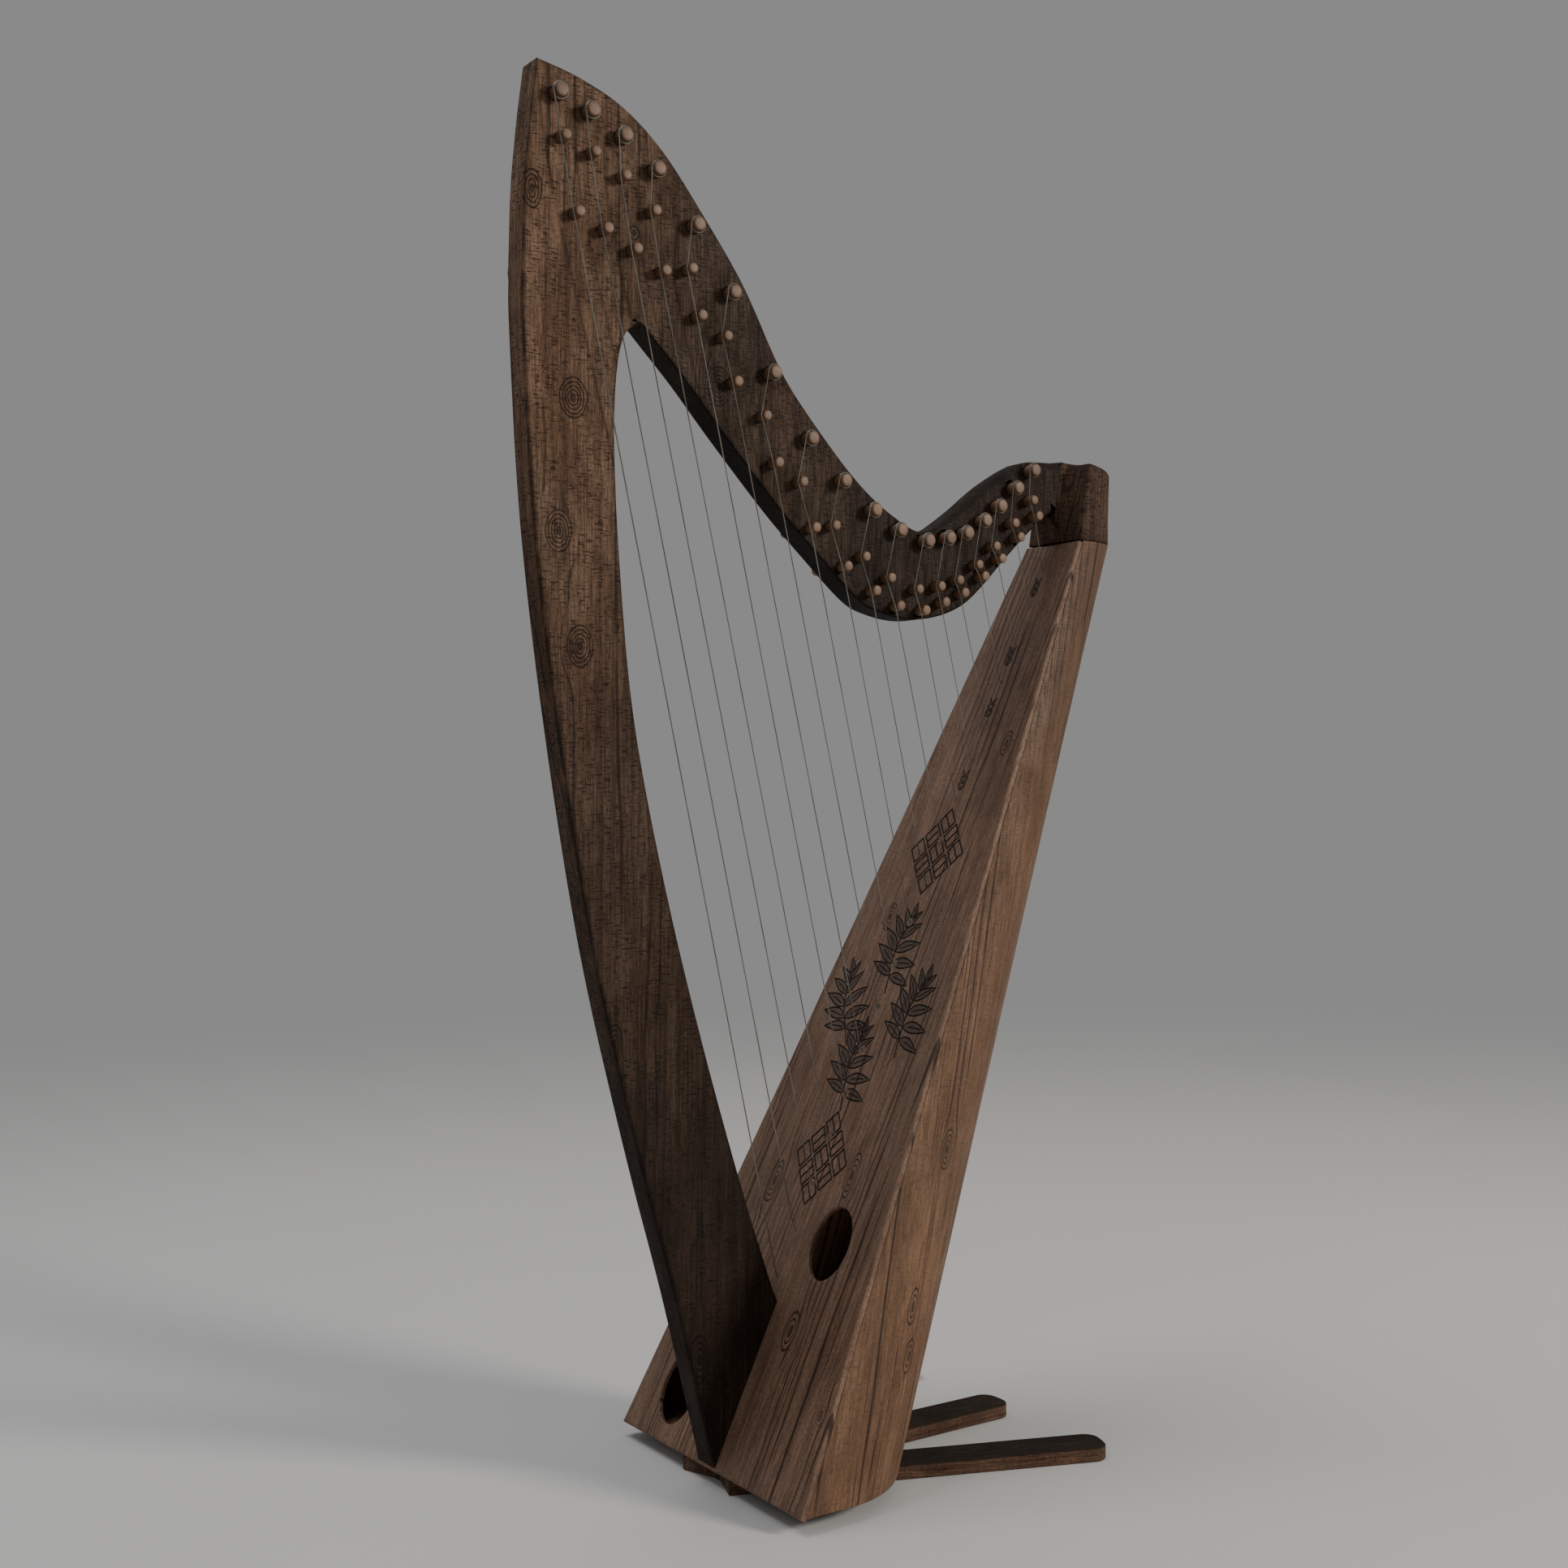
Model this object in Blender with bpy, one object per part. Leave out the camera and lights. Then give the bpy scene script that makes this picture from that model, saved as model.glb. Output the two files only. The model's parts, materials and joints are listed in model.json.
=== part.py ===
"""Small floor-standing celtic harp with wooden tuning pegs.

The model is built in metres, +Z up, +X towards the player, and Y = 0 is the plane that
halves the sound box, neck and pillar. Sizes are laid out from the toe, the bottom front
edge of the soundboard, and every piece hangs on the empty harp_frame, which carries the
toe to its place in front of the harp's origin. The origin is on the floor, under the
middle leg of the stand. The strings are on the -Y side of the neck.
"""

import math

import bmesh
import bpy
from mathutils import Vector

# ------------------------------------------------------------------ driving dimensions

TOE_X = -0.1365  # the toe, measured from the origin
GAP = 0.0003  # clearance between two pieces that touch
SHARP_ANGLE = math.radians(40.0)  # edges sharper than this stay crisp on round pieces
CUTTER_REACH = 0.03  # how far a hole's cutter runs past the wall's outer face, each way

# Stand: one straight and two splayed boards lying on the floor.
LEG_HEIGHT = 0.0127
LEG_WIDTH = 0.0365
LEG_REACH = 0.322  # rear end of every leg, behind the toe
LEG_SPLAY = math.radians(20.4)
LEG_FRONT_X = 0.0005  # outer front corner of a splayed leg
LEG_FRONT_Y = 0.036
LEG_CORNER = 0.013  # rounding of the rear corners
LEG_CORNER_STEPS = 4
LEG_SCREW_X = 0.105

# Sound box: a flat leaning front and a D-shaped back, both tapering upwards.
BOX_BOTTOM_Z = 0.013
BOX_TOP_Z = 0.811
BOX_LEAN = 0.388 / 0.798  # how far the front runs back for each metre of height
BOTTOM_HALF_WIDTH = 0.140
BOTTOM_STRAIGHT = 0.048  # straight run of the sides, from the front
BOTTOM_ROUND = 0.111  # depth of the half ellipse behind it
TOP_HALF_WIDTH = 0.0366
TOP_STRAIGHT = 0.008
TOP_ROUND = 0.054
BOX_WALL = 0.006
BACK_STEPS = 24
SOUNDBOARD = 0.005
BOTTOM_BOARD = 0.008
TOP_BLOCK = 0.015

# Oval sound holes: (y, z) of the centre on the soundboard.
SOUND_HOLES = ((-0.053, 0.198), (0.076, 0.056))
SOUND_HOLE_LENGTH = 0.063
SOUND_HOLE_WIDTH = 0.049
SOUND_HOLE_SIDES = 32

# Oval hand holes down the middle of the back: (z of the centre, height, width).
HAND_HOLES = ((0.190, 0.110, 0.072), (0.400, 0.096, 0.060), (0.600, 0.080, 0.046))
HAND_HOLE_SIDES = 24

# Blocks and bars glued inside the box.
TOE_BLOCK_TOP = 0.148
TOE_BLOCK_DEPTH = 0.030
TOE_BLOCK_HALF_WIDTH = 0.030
RIB_BOTTOM_Z = 0.153
RIB_TOP_Z = 0.794
RIB_THICKNESS = 0.005
RIB_HALF_WIDTH = 0.011
BRACE_HEIGHT = 0.012
BRACE_DEPTH = 0.008
BRACE_STRINGS = (4, 11)  # each brace crosses between this string and the next
BRACE_DROP = 0.004  # how far it sits below the middle of the two strings
BRACE_END_GAP = 0.001

# Pillar and neck: boards of one thickness.
BOARD = 0.026
PILLAR_FRONT = (
    (0.0010, 0.0160), (-0.0350, 0.1570), (-0.0700, 0.2800), (-0.1115, 0.4450),
    (-0.1435, 0.6240), (-0.1650, 0.7900), (-0.1745, 0.9400), (-0.1750, 0.9850),
)
PILLAR_REAR = (
    (-0.0695, 0.9560), (-0.0830, 0.9440), (-0.0905, 0.9120), (-0.0925, 0.8500),
    (-0.0870, 0.7500), (-0.0745, 0.6350), (-0.0480, 0.5100), (-0.0130, 0.3800),
    (0.0280, 0.2480), (0.0638, 0.1450),
)
NECK_FRONT = ((-0.1750, 0.9850), (-0.1730, 1.0500), (-0.1680, 1.1050), (-0.1620, 1.1500))
NECK_TOP = (
    (-0.1620, 1.1500), (-0.1260, 1.1425), (-0.0860, 1.1270), (-0.0480, 1.0980),
    (-0.0080, 1.0510), (0.0310, 0.9990), (0.0690, 0.9330), (0.1060, 0.8890),
    (0.1510, 0.8450), (0.1920, 0.8180), (0.2240, 0.8090), (0.2570, 0.8280),
    (0.2980, 0.8590), (0.3420, 0.8820), (0.3882, 0.8865),
)
NECK_BOTTOM = (
    (0.3797, 0.8430), (0.3480, 0.8180), (0.3180, 0.7905), (0.2860, 0.7595),
    (0.2630, 0.7430), (0.2350, 0.7330), (0.2040, 0.7295), (0.1720, 0.7345),
    (0.1480, 0.7450), (0.1090, 0.7780), (0.0660, 0.8170), (0.0110, 0.8735),
    (-0.0280, 0.9155), (-0.0695, 0.9560),
)
OUTLINE_STEPS = 3

# Shoulder block: carries the neck on the top of the box.
SHOULDER_FRONT_Z = 0.8865
SHOULDER_BACK_Z = 0.8780
SHOULDER_TOP_RUN = 0.062  # level length of the sloping top
SHOULDER_LEAN = 0.0125 / 0.0755
NOSE_LENGTH = 0.012  # how far the block reaches forward to meet the neck
NOSE_LENGTH_LOW = 0.002
NOSE_FULL_Z = 0.835
COVE_RADIUS = 0.011  # hollow between the nose and the front of the block
COVE_STEPS = 4

# Dowels, tenon, bolt and screws that hold the frame together.
DOWEL_RADIUS = 0.004
DOWEL_HALF_LENGTH = 0.018
NECK_DOWELS = (("neck_dowel_front", 0.30), ("neck_dowel_rear", 0.70))  # share of the joint
TENON_HALF = (0.026, 0.005, 0.013)
BLOCK_DOWEL_RADIUS = 0.003
BLOCK_DOWEL_HALF_LENGTH = 0.014
BLOCK_DOWEL_BACK = 0.016  # behind the end of the straight run of the box's sides
BLOCK_DOWEL_Y = 0.015
BLOCK_DOWEL_RISE = 0.004  # its middle, above the joint
DOWEL_SIDES = 12
BOLT_RADIUS = 0.004
BOLT_HEAD_RADIUS = 0.0075
BOLT_HEAD = 0.005
BOLT_Z = 0.082
BOLT_REACH = 0.040  # how deep the bolt runs into the pillar
BOLT_HOLE_START = 0.002  # how far its hole's cutter starts behind the toe block
SCREW_RADIUS = 0.002
SCREW_POINT_RADIUS = 0.0006
SCREW_HEAD_RADIUS = 0.004
SCREW_HEAD = 0.0025
SCREW_SHANK = 0.0160  # head and straight shank together
SCREW_LENGTH = 0.0175
SCREW_RECESS = 0.0015  # height of the head's face above the floor
SCREW_TOOL_START = 0.004  # how far the recess's cutter starts below the head
SCREW_SIDES = 10

# Tuning pegs and pins. Each row is a smooth line through the pins of the key strings.
STRINGS = 18
KEY_STRINGS = (1, 3, 5, 8, 11, 13, 15, 18)
PEG_ROW = (
    (-0.146, 1.125), (-0.088, 1.101), (-0.020, 1.041), (0.094, 0.878), (0.190, 0.807),
    (0.245, 0.804), (0.287, 0.823), (0.346, 0.874),
)
BRIDGE_ROW = (
    (-0.142, 1.091), (-0.088, 1.069), (-0.026, 1.004), (0.084, 0.840), (0.178, 0.764),
    (0.234, 0.760), (0.278, 0.782), (0.344, 0.846),
)
GUIDE_ROW = (
    (-0.130, 1.033), (-0.078, 1.012), (-0.017, 0.967), (0.097, 0.802), (0.188, 0.740),
    (0.239, 0.746), (0.285, 0.772), (0.350, 0.832),
)
PEG_RADIUS = 0.0056
PEG_CLEARANCE = 0.0001
BRIDGE_PIN_RADIUS = 0.0043
GUIDE_PIN_RADIUS = 0.0045
PROUD = 0.0125  # how far pegs and pins stand out of the neck, on both sides
CHAMFER = 0.0007
PEG_SIDES = 16
PIN_SIDES = 10

# Strings.
STRING_Y = -0.023
BASS_RADIUS = 0.00055
TREBLE_RADIUS = 0.00030
STRING_SIDES = 4
FIRST_ANCHOR_Z = 0.163
LAST_ANCHOR_Z = 0.787
BASS_SPACING = 0.0372  # height between the first two anchors
COIL_TURNS = 1.25
COIL_STEPS = 12  # in one turn
COIL_PITCH = 0.0018
COIL_CLEARANCE = 0.0005
STRING_LEAD = 0.0012  # how far in front of the soundboard a string bends into its hole
STRING_HOLE_RADIUS = 0.0014
STRING_HOLE_START = 0.004  # in front of the soundboard
STRING_HOLE_LENGTH = 0.020
STRING_HOLE_SIDES = 8
KNOT_RADIUS = 0.0022
KNOT_LENGTH = 0.002

# ------------------------------------------------------------------ scene and materials

for old in list(bpy.data.objects):
    bpy.data.objects.remove(old, do_unlink=True)

harp_frame = bpy.data.objects.new("harp_frame", None)
harp_frame.location = (TOE_X, 0.0, 0.0)
bpy.context.scene.collection.objects.link(harp_frame)


def material(name, colour, roughness, metallic=0.0):
    made = bpy.data.materials.new(name)
    made.use_nodes = True
    shader = made.node_tree.nodes["Principled BSDF"]
    shader.inputs["Base Color"].default_value = (*colour, 1.0)
    shader.inputs["Roughness"].default_value = roughness
    shader.inputs["Metallic"].default_value = metallic
    return made


DARK_WOOD = material("dark_wood", (0.085, 0.052, 0.034), 0.62)
BOX_WOOD = material("box_wood", (0.165, 0.100, 0.062), 0.58)
INNER_WOOD = material("inner_wood", (0.120, 0.080, 0.052), 0.75)
PEG_WOOD = material("peg_wood", (0.260, 0.160, 0.098), 0.55)
STRING_MATERIAL = material("string", (0.420, 0.400, 0.360), 0.35)
STEEL = material("steel", (0.350, 0.340, 0.320), 0.40, 1.0)


def node(name, mesh, slot, location=(0.0, 0.0, 0.0)):
    """Adds a named piece that hangs on the harp's frame."""
    piece = bpy.data.objects.new(name, mesh)
    piece.data.materials.append(slot)
    piece.parent = harp_frame
    piece.location = location
    bpy.context.scene.collection.objects.link(piece)
    return piece


def boolean(piece, tool_mesh, operation):
    """Cuts the tool from the piece, or joins it on, with a hidden tool object."""
    tool = bpy.data.objects.new(f"{piece.name}_{operation.lower()}_tool", tool_mesh)
    tool.parent = harp_frame
    tool.hide_render = True
    tool.display_type = "WIRE"
    bpy.context.scene.collection.objects.link(tool)
    modifier = piece.modifiers.new(operation.lower(), "BOOLEAN")
    modifier.operation = operation
    modifier.solver = "EXACT"
    modifier.object = tool


# ------------------------------------------------------------------ mesh tools


def finish_mesh(shape, name, smooth=False):
    bmesh.ops.recalc_face_normals(shape, faces=shape.faces)
    mesh = bpy.data.meshes.new(name)
    shape.to_mesh(mesh)
    shape.free()
    if smooth:
        mesh.shade_smooth()
        mesh.set_sharp_from_angle(angle=SHARP_ANGLE)
    return mesh


def add_loft(shape, rings):
    """Joins rings of equal count in order, with a flat cap on each end."""
    levels = []
    for ring in rings:
        levels.append([shape.verts.new(point) for point in ring])
    count = len(levels[0])
    for lower, upper in zip(levels, levels[1:]):
        for i in range(count):
            j = (i + 1) % count
            shape.faces.new((lower[i], lower[j], upper[j], upper[i]))
    shape.faces.new(list(reversed(levels[0])))
    shape.faces.new(levels[-1])


def loft(name, rings, smooth=False):
    shape = bmesh.new()
    add_loft(shape, rings)
    return finish_mesh(shape, name, smooth)


def plank(name, outline, near_y, far_y, smooth=False):
    """A board with an (x, z) outline, between two y planes."""
    rings = []
    for y in (near_y, far_y):
        rings.append([(x, y, z) for x, z in outline])
    return loft(name, rings, smooth)


def spline(points, steps):
    """Catmull-Rom line through all the points, which keeps its end points."""
    ends = [2.0 * Vector(points[0]) - Vector(points[1])]
    ends.append(2.0 * Vector(points[-1]) - Vector(points[-2]))
    guide = [ends[0], *[Vector(p) for p in points], ends[1]]
    line = []
    for i in range(1, len(guide) - 2):
        a, b, c, d = guide[i - 1 : i + 3]
        for step in range(steps):
            t = step / steps
            bend = (2.0 * a - 5.0 * b + 4.0 * c - d) * t * t
            twist = (3.0 * b - a - 3.0 * c + d) * t * t * t
            line.append(tuple(0.5 * (2.0 * b + (c - a) * t + bend + twist)))
    line.append(tuple(points[-1]))
    return line


def circle(centre, axis, radius, sides):
    """A ring of points around an axis, with a side flat towards the axis's normal."""
    along = Vector(axis).normalized()
    across = along.cross(Vector((0.0, 0.0, 1.0)))
    if across.length < 0.1:
        across = along.cross(Vector((0.0, 1.0, 0.0)))
    across.normalize()
    other = along.cross(across)
    ring = []
    for i in range(sides):
        angle = 2.0 * math.pi * (i + 0.5) / sides
        ring.append(Vector(centre) + radius * (math.cos(angle) * across + math.sin(angle) * other))
    return ring


def add_turned(shape, start, axis, profile, sides):
    """A turned rod: the profile lists (distance along the axis, radius)."""
    along = Vector(axis).normalized()
    rings = []
    for distance, radius in profile:
        rings.append(circle(Vector(start) + distance * along, along, radius, sides))
    add_loft(shape, rings)


def turned(name, start, axis, profile, sides):
    shape = bmesh.new()
    add_turned(shape, start, axis, profile, sides)
    return finish_mesh(shape, name, smooth=True)


def hole(start, axis, radius, length, sides):
    """A round cutter whose flats, not its corners, keep the stated radius."""
    wide = radius / math.cos(math.pi / sides)
    return turned("hole", start, axis, ((0.0, wide), (length, wide)), sides)


def chamfered(length, radius):
    return (
        (0.0, radius - CHAMFER),
        (CHAMFER, radius),
        (length - CHAMFER, radius),
        (length, radius - CHAMFER),
    )


def block(name, low, high):
    """A box between two corners."""
    corners = ((low[0], low[2]), (high[0], low[2]), (high[0], high[2]), (low[0], high[2]))
    return plank(name, corners, low[1], high[1])


# ------------------------------------------------------------------ sound box geometry


def height_share(z):
    return (z - BOX_BOTTOM_Z) / (BOX_TOP_Z - BOX_BOTTOM_Z)


def between(low, high, share):
    return low + (high - low) * share


def front_x(z):
    """The outer face of the soundboard at a height."""
    return BOX_LEAN * (z - BOX_BOTTOM_Z)


LEAN_LENGTH = math.hypot(1.0, BOX_LEAN)
INWARD = Vector((1.0, 0.0, -BOX_LEAN)) / LEAN_LENGTH  # square to the soundboard, into the box
UPWARD = Vector((BOX_LEAN, 0.0, 1.0)) / LEAN_LENGTH  # up the soundboard


def level_thickness(thickness):
    """The level run of a leaning board of a given thickness."""
    return thickness * LEAN_LENGTH


BOARD_BACK = level_thickness(SOUNDBOARD) + GAP
RIB_BACK = BOARD_BACK + level_thickness(RIB_THICKNESS) + GAP


def half_width(z):
    return between(BOTTOM_HALF_WIDTH, TOP_HALF_WIDTH, height_share(z))


def straight_run(z):
    return between(BOTTOM_STRAIGHT, TOP_STRAIGHT, height_share(z))


def round_depth(z):
    return between(BOTTOM_ROUND, TOP_ROUND, height_share(z))


def section(z, inset, start):
    """The D-shaped section at a height, from the near front corner round to the far one."""
    wide = half_width(z) - inset
    deep = round_depth(z) - inset
    centre = front_x(z) + straight_run(z)
    line = [(front_x(z) + start, -wide, z)]
    for i in range(BACK_STEPS + 1):
        angle = math.pi * (i / BACK_STEPS - 0.5)
        line.append((centre + deep * math.cos(angle), wide * math.sin(angle), z))
    line.append((front_x(z) + start, wide, z))
    return line


def on_board(y, z):
    return Vector((front_x(z), y, z))


def oval_cutter(centre, long_axis, long_radius, wide_radius, along, sides):
    """An oval plug through a wall, along a direction that is square to long_axis."""
    rings = []
    for side in (-CUTTER_REACH, CUTTER_REACH):
        ring = []
        for i in range(sides):
            angle = 2.0 * math.pi * i / sides
            across = wide_radius * math.sin(angle) * Vector((0.0, 1.0, 0.0))
            ring.append(centre + side * along + long_radius * math.cos(angle) * long_axis + across)
        rings.append(ring)
    return rings


def sound_hole_mesh():
    shape = bmesh.new()
    for y, z in SOUND_HOLES:
        length = SOUND_HOLE_LENGTH / 2.0
        width = SOUND_HOLE_WIDTH / 2.0
        centre = on_board(y, z)
        add_loft(shape, oval_cutter(centre, UPWARD, length, width, INWARD, SOUND_HOLE_SIDES))
    return finish_mesh(shape, "sound_holes")


def hand_hole_mesh():
    shape = bmesh.new()
    up = Vector((0.0, 0.0, 1.0))
    level = Vector((1.0, 0.0, 0.0))
    for z, tall, wide in HAND_HOLES:
        centre = Vector((front_x(z) + straight_run(z) + round_depth(z), 0.0, z))
        add_loft(shape, oval_cutter(centre, up, tall / 2.0, wide / 2.0, level, HAND_HOLE_SIDES))
    return finish_mesh(shape, "hand_holes")


# ------------------------------------------------------------------ strings: where they run


def spread(row, index):
    """The (x, z) place of peg or pin number index on a row given at KEY_STRINGS."""
    for k in range(len(KEY_STRINGS) - 1):
        if index <= KEY_STRINGS[k + 1]:
            break
    steps = KEY_STRINGS[k + 1] - KEY_STRINGS[k]
    ends = [2.0 * Vector(row[0]) - Vector(row[1]), 2.0 * Vector(row[-1]) - Vector(row[-2])]
    guide = [ends[0], *[Vector(p) for p in row], ends[1]]
    return spline(guide[k : k + 4], steps)[steps + index - KEY_STRINGS[k]]


def anchor_z(index):
    """Heights of the string holes, whose spacing shrinks evenly towards the treble."""
    n = index - 1
    last = STRINGS - 1
    even = (LAST_ANCHOR_Z - FIRST_ANCHOR_Z - last * BASS_SPACING) / (last * (last - 1))
    return FIRST_ANCHOR_Z + n * BASS_SPACING + n * (n - 1) * even


def string_radius(index):
    return between(BASS_RADIUS, TREBLE_RADIUS, (index - 1) / (STRINGS - 1))


def beside(above, pin, below, distance):
    """Where a string bends round the front of a pin, clear of it by the distance."""
    run_in = Vector((pin.x - above.x, 0.0, pin.z - above.z)).normalized()
    run_out = Vector((below.x - pin.x, 0.0, below.z - pin.z)).normalized()
    run = (run_in + run_out).normalized()
    return pin + distance / run.dot(run_in) * Vector((run.z, 0.0, -run.x))


def string_path(index):
    """Points and radii of one string, from its coil on the peg to its knot in the box."""
    thin = string_radius(index)
    peg_x, peg_z = spread(PEG_ROW, index)
    bridge_x, bridge_z = spread(BRIDGE_ROW, index)
    guide_x, guide_z = spread(GUIDE_ROW, index)
    peg = Vector((peg_x, STRING_Y, peg_z))
    bridge = Vector((bridge_x, STRING_Y, bridge_z))
    guide = Vector((guide_x, STRING_Y, guide_z))
    anchor = on_board(0.0, anchor_z(index))
    bridge_side = beside(peg, bridge, guide, BRIDGE_PIN_RADIUS + thin + 2.0 * GAP)
    guide_side = beside(bridge, guide, anchor, GUIDE_PIN_RADIUS + thin + 2.0 * GAP)

    coil_radius = PEG_RADIUS + thin + COIL_CLEARANCE
    run = bridge_side - peg
    slant = math.asin(coil_radius / run.length)
    leave = math.atan2(run.z, run.x) - (math.pi / 2.0 - slant)
    points = []
    turns = int(COIL_TURNS * COIL_STEPS)
    for step in range(turns, -1, -1):
        angle = leave - 2.0 * math.pi * step / COIL_STEPS
        inward = COIL_PITCH * step / COIL_STEPS
        circle_point = Vector((math.cos(angle), 0.0, math.sin(angle)))
        points.append(peg + coil_radius * circle_point + Vector((0.0, inward, 0.0)))
    points.append(bridge_side)
    points.append(guide_side)
    radii = [thin] * len(points)
    through = SOUNDBOARD + RIB_THICKNESS + 2.0 * GAP
    for depth, radius in (
        (-STRING_LEAD, thin),
        (through + GAP, thin),
        (through + 2.0 * GAP, KNOT_RADIUS),
        (through + KNOT_LENGTH, KNOT_RADIUS),
        (through + 1.5 * KNOT_LENGTH, thin),
    ):
        points.append(anchor + depth * INWARD)
        radii.append(radius)
    return points, radii


def tube(name, points, radii, sides):
    """A closed round line: each ring lies on the plane that halves the bend there."""
    rings = []
    side = None
    for i, point in enumerate(points):
        before = (point - points[i - 1]).normalized() if i else None
        after = (points[i + 1] - point).normalized() if i + 1 < len(points) else None
        along = (before or after) + (after or before)
        along.normalize()
        if side is None:
            side = along.orthogonal()
        side = (side - side.dot(along) * along).normalized()
        other = along.cross(side)
        ring = []
        for k in range(sides):
            angle = 2.0 * math.pi * k / sides
            spoke = math.cos(angle) * side + math.sin(angle) * other
            ring.append(point + radii[i] * spoke)
        rings.append(ring)
    return loft(name, rings, smooth=True)


# ------------------------------------------------------------------ the frame's pieces


def make_pillar():
    outline = spline(PILLAR_FRONT, OUTLINE_STEPS) + spline(PILLAR_REAR, OUTLINE_STEPS)
    foot_gap = level_thickness(GAP)
    outline[0] = (front_x(outline[0][1]) - foot_gap, outline[0][1])
    outline[-1] = (front_x(outline[-1][1]) - foot_gap, outline[-1][1])
    return node("pillar", plank("pillar", outline, -BOARD / 2.0, BOARD / 2.0, True), DARK_WOOD)


def neck_outline():
    """The neck's outline, whose lower front edge rests on the pillar with a gap."""
    front = spline(NECK_FRONT, OUTLINE_STEPS)
    top = spline(NECK_TOP, OUTLINE_STEPS)
    bottom = spline(NECK_BOTTOM, OUTLINE_STEPS)
    top[-1] = (nose_x(top[-1][1]) - GAP, top[-1][1])
    bottom[0] = (nose_x(bottom[0][1]) - GAP, bottom[0][1])
    front[0] = (front[0][0], front[0][1] + GAP)
    bottom[-1] = (bottom[-1][0], bottom[-1][1] + GAP)
    return front[:-1] + top + bottom


def make_neck():
    neck = node("neck", plank("neck", neck_outline(), -BOARD / 2.0, BOARD / 2.0, True), DARK_WOOD)
    out = BOARD / 2.0 + PROUD
    pins = bmesh.new()
    bores = bmesh.new()
    bore_radius = (PEG_RADIUS + PEG_CLEARANCE) / math.cos(math.pi / PEG_SIDES)
    for index in range(1, STRINGS + 1):
        for row, radius in ((BRIDGE_ROW, BRIDGE_PIN_RADIUS), (GUIDE_ROW, GUIDE_PIN_RADIUS)):
            x, z = spread(row, index)
            start = (x, -out, z)
            add_turned(pins, start, (0.0, 1.0, 0.0), ((0.0, radius), (2.0 * out, radius)), PIN_SIDES)
        x, z = spread(PEG_ROW, index)
        profile = ((0.0, bore_radius), (2.0 * out, bore_radius))
        add_turned(bores, (x, -out, z), (0.0, 1.0, 0.0), profile, PEG_SIDES)
    boolean(neck, finish_mesh(pins, "pins"), "UNION")
    boolean(neck, finish_mesh(bores, "peg_bores"), "DIFFERENCE")
    return neck


def shoulder_front_x(z):
    return front_x(BOX_TOP_Z) + SHOULDER_LEAN * (z - BOX_TOP_Z)


def nose_length(z):
    share = min(1.0, (z - BOX_TOP_Z) / (NOSE_FULL_Z - BOX_TOP_Z))
    return between(NOSE_LENGTH_LOW, NOSE_LENGTH, share)


def nose_x(z):
    return shoulder_front_x(z) - nose_length(z)


def shoulder_ring(z, slope):
    """The block's plan at a height: nose, two coves, and the D of the box's top."""
    reach = nose_length(z)
    face = shoulder_front_x(z)
    half = BOARD / 2.0
    centre = front_x(BOX_TOP_Z) + TOP_STRAIGHT
    back = centre + TOP_ROUND
    cove = []
    for i in range(COVE_STEPS + 1):
        angle = math.pi / 2.0 * i / COVE_STEPS
        x = face - reach * (1.0 - math.sin(angle))
        cove.append((x, half + COVE_RADIUS * (1.0 - math.cos(angle))))
    side = [(x, -y) for x, y in cove]
    side.append((face + TOP_STRAIGHT / 4.0, -TOP_HALF_WIDTH))
    for i in range(BACK_STEPS + 1):
        angle = math.pi * (i / BACK_STEPS - 0.5)
        start = max(centre, face + TOP_STRAIGHT / 2.0)
        deep = back - start
        side.append((start + deep * math.cos(angle), TOP_HALF_WIDTH * math.sin(angle)))
    side.append((face + TOP_STRAIGHT / 4.0, TOP_HALF_WIDTH))
    side.extend((x, y) for x, y in reversed(cove))
    ring = []
    for x, y in side:
        ring.append((x, y, z - slope * (x - nose_x(z))))
    return ring


def make_shoulder_block():
    slope = (SHOULDER_FRONT_Z - SHOULDER_BACK_Z) / SHOULDER_TOP_RUN
    rings = [
        shoulder_ring(BOX_TOP_Z + GAP, 0.0),
        shoulder_ring(NOSE_FULL_Z, 0.0),
        shoulder_ring(SHOULDER_FRONT_Z, slope),
    ]
    return node("shoulder_block", loft("shoulder_block", rings, True), DARK_WOOD)


def make_soundboard():
    back = level_thickness(SOUNDBOARD)
    rings = []
    for z in (BOX_BOTTOM_Z, BOX_TOP_Z):
        x = front_x(z)
        half = half_width(z)
        rings.append([(x, -half, z), (x, half, z), (x + back, half, z), (x + back, -half, z)])
    board = node("soundboard", loft("soundboard", rings), BOX_WOOD)
    boolean(board, sound_hole_mesh(), "DIFFERENCE")
    return board


def make_box_back():
    rings = []
    for z in (BOX_BOTTOM_Z, BOX_TOP_Z):
        outer = section(z, 0.0, BOARD_BACK)
        inner = section(z, BOX_WALL, BOARD_BACK)
        rings.append(outer + inner[::-1])
    shell = node("box_back", loft("box_back", rings, True), BOX_WOOD)
    boolean(shell, hand_hole_mesh(), "DIFFERENCE")
    return shell


def make_plug(name, low_z, high_z):
    """A board that closes the box between two heights."""
    rings = [section(z, BOX_WALL + GAP, BOARD_BACK) for z in (low_z, high_z)]
    return node(name, loft(name, rings), INNER_WOOD)


def leaning_bar(name, low_z, high_z, start, depth, half):
    """A bar against the soundboard's back, between two heights."""
    rings = []
    for z in (low_z, high_z):
        x = front_x(z)
        rings.append([
            (x + start, -half, z),
            (x + start, half, z),
            (x + start + depth, half, z),
            (x + start + depth, -half, z),
        ])
    return node(name, loft(name, rings), INNER_WOOD)


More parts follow.
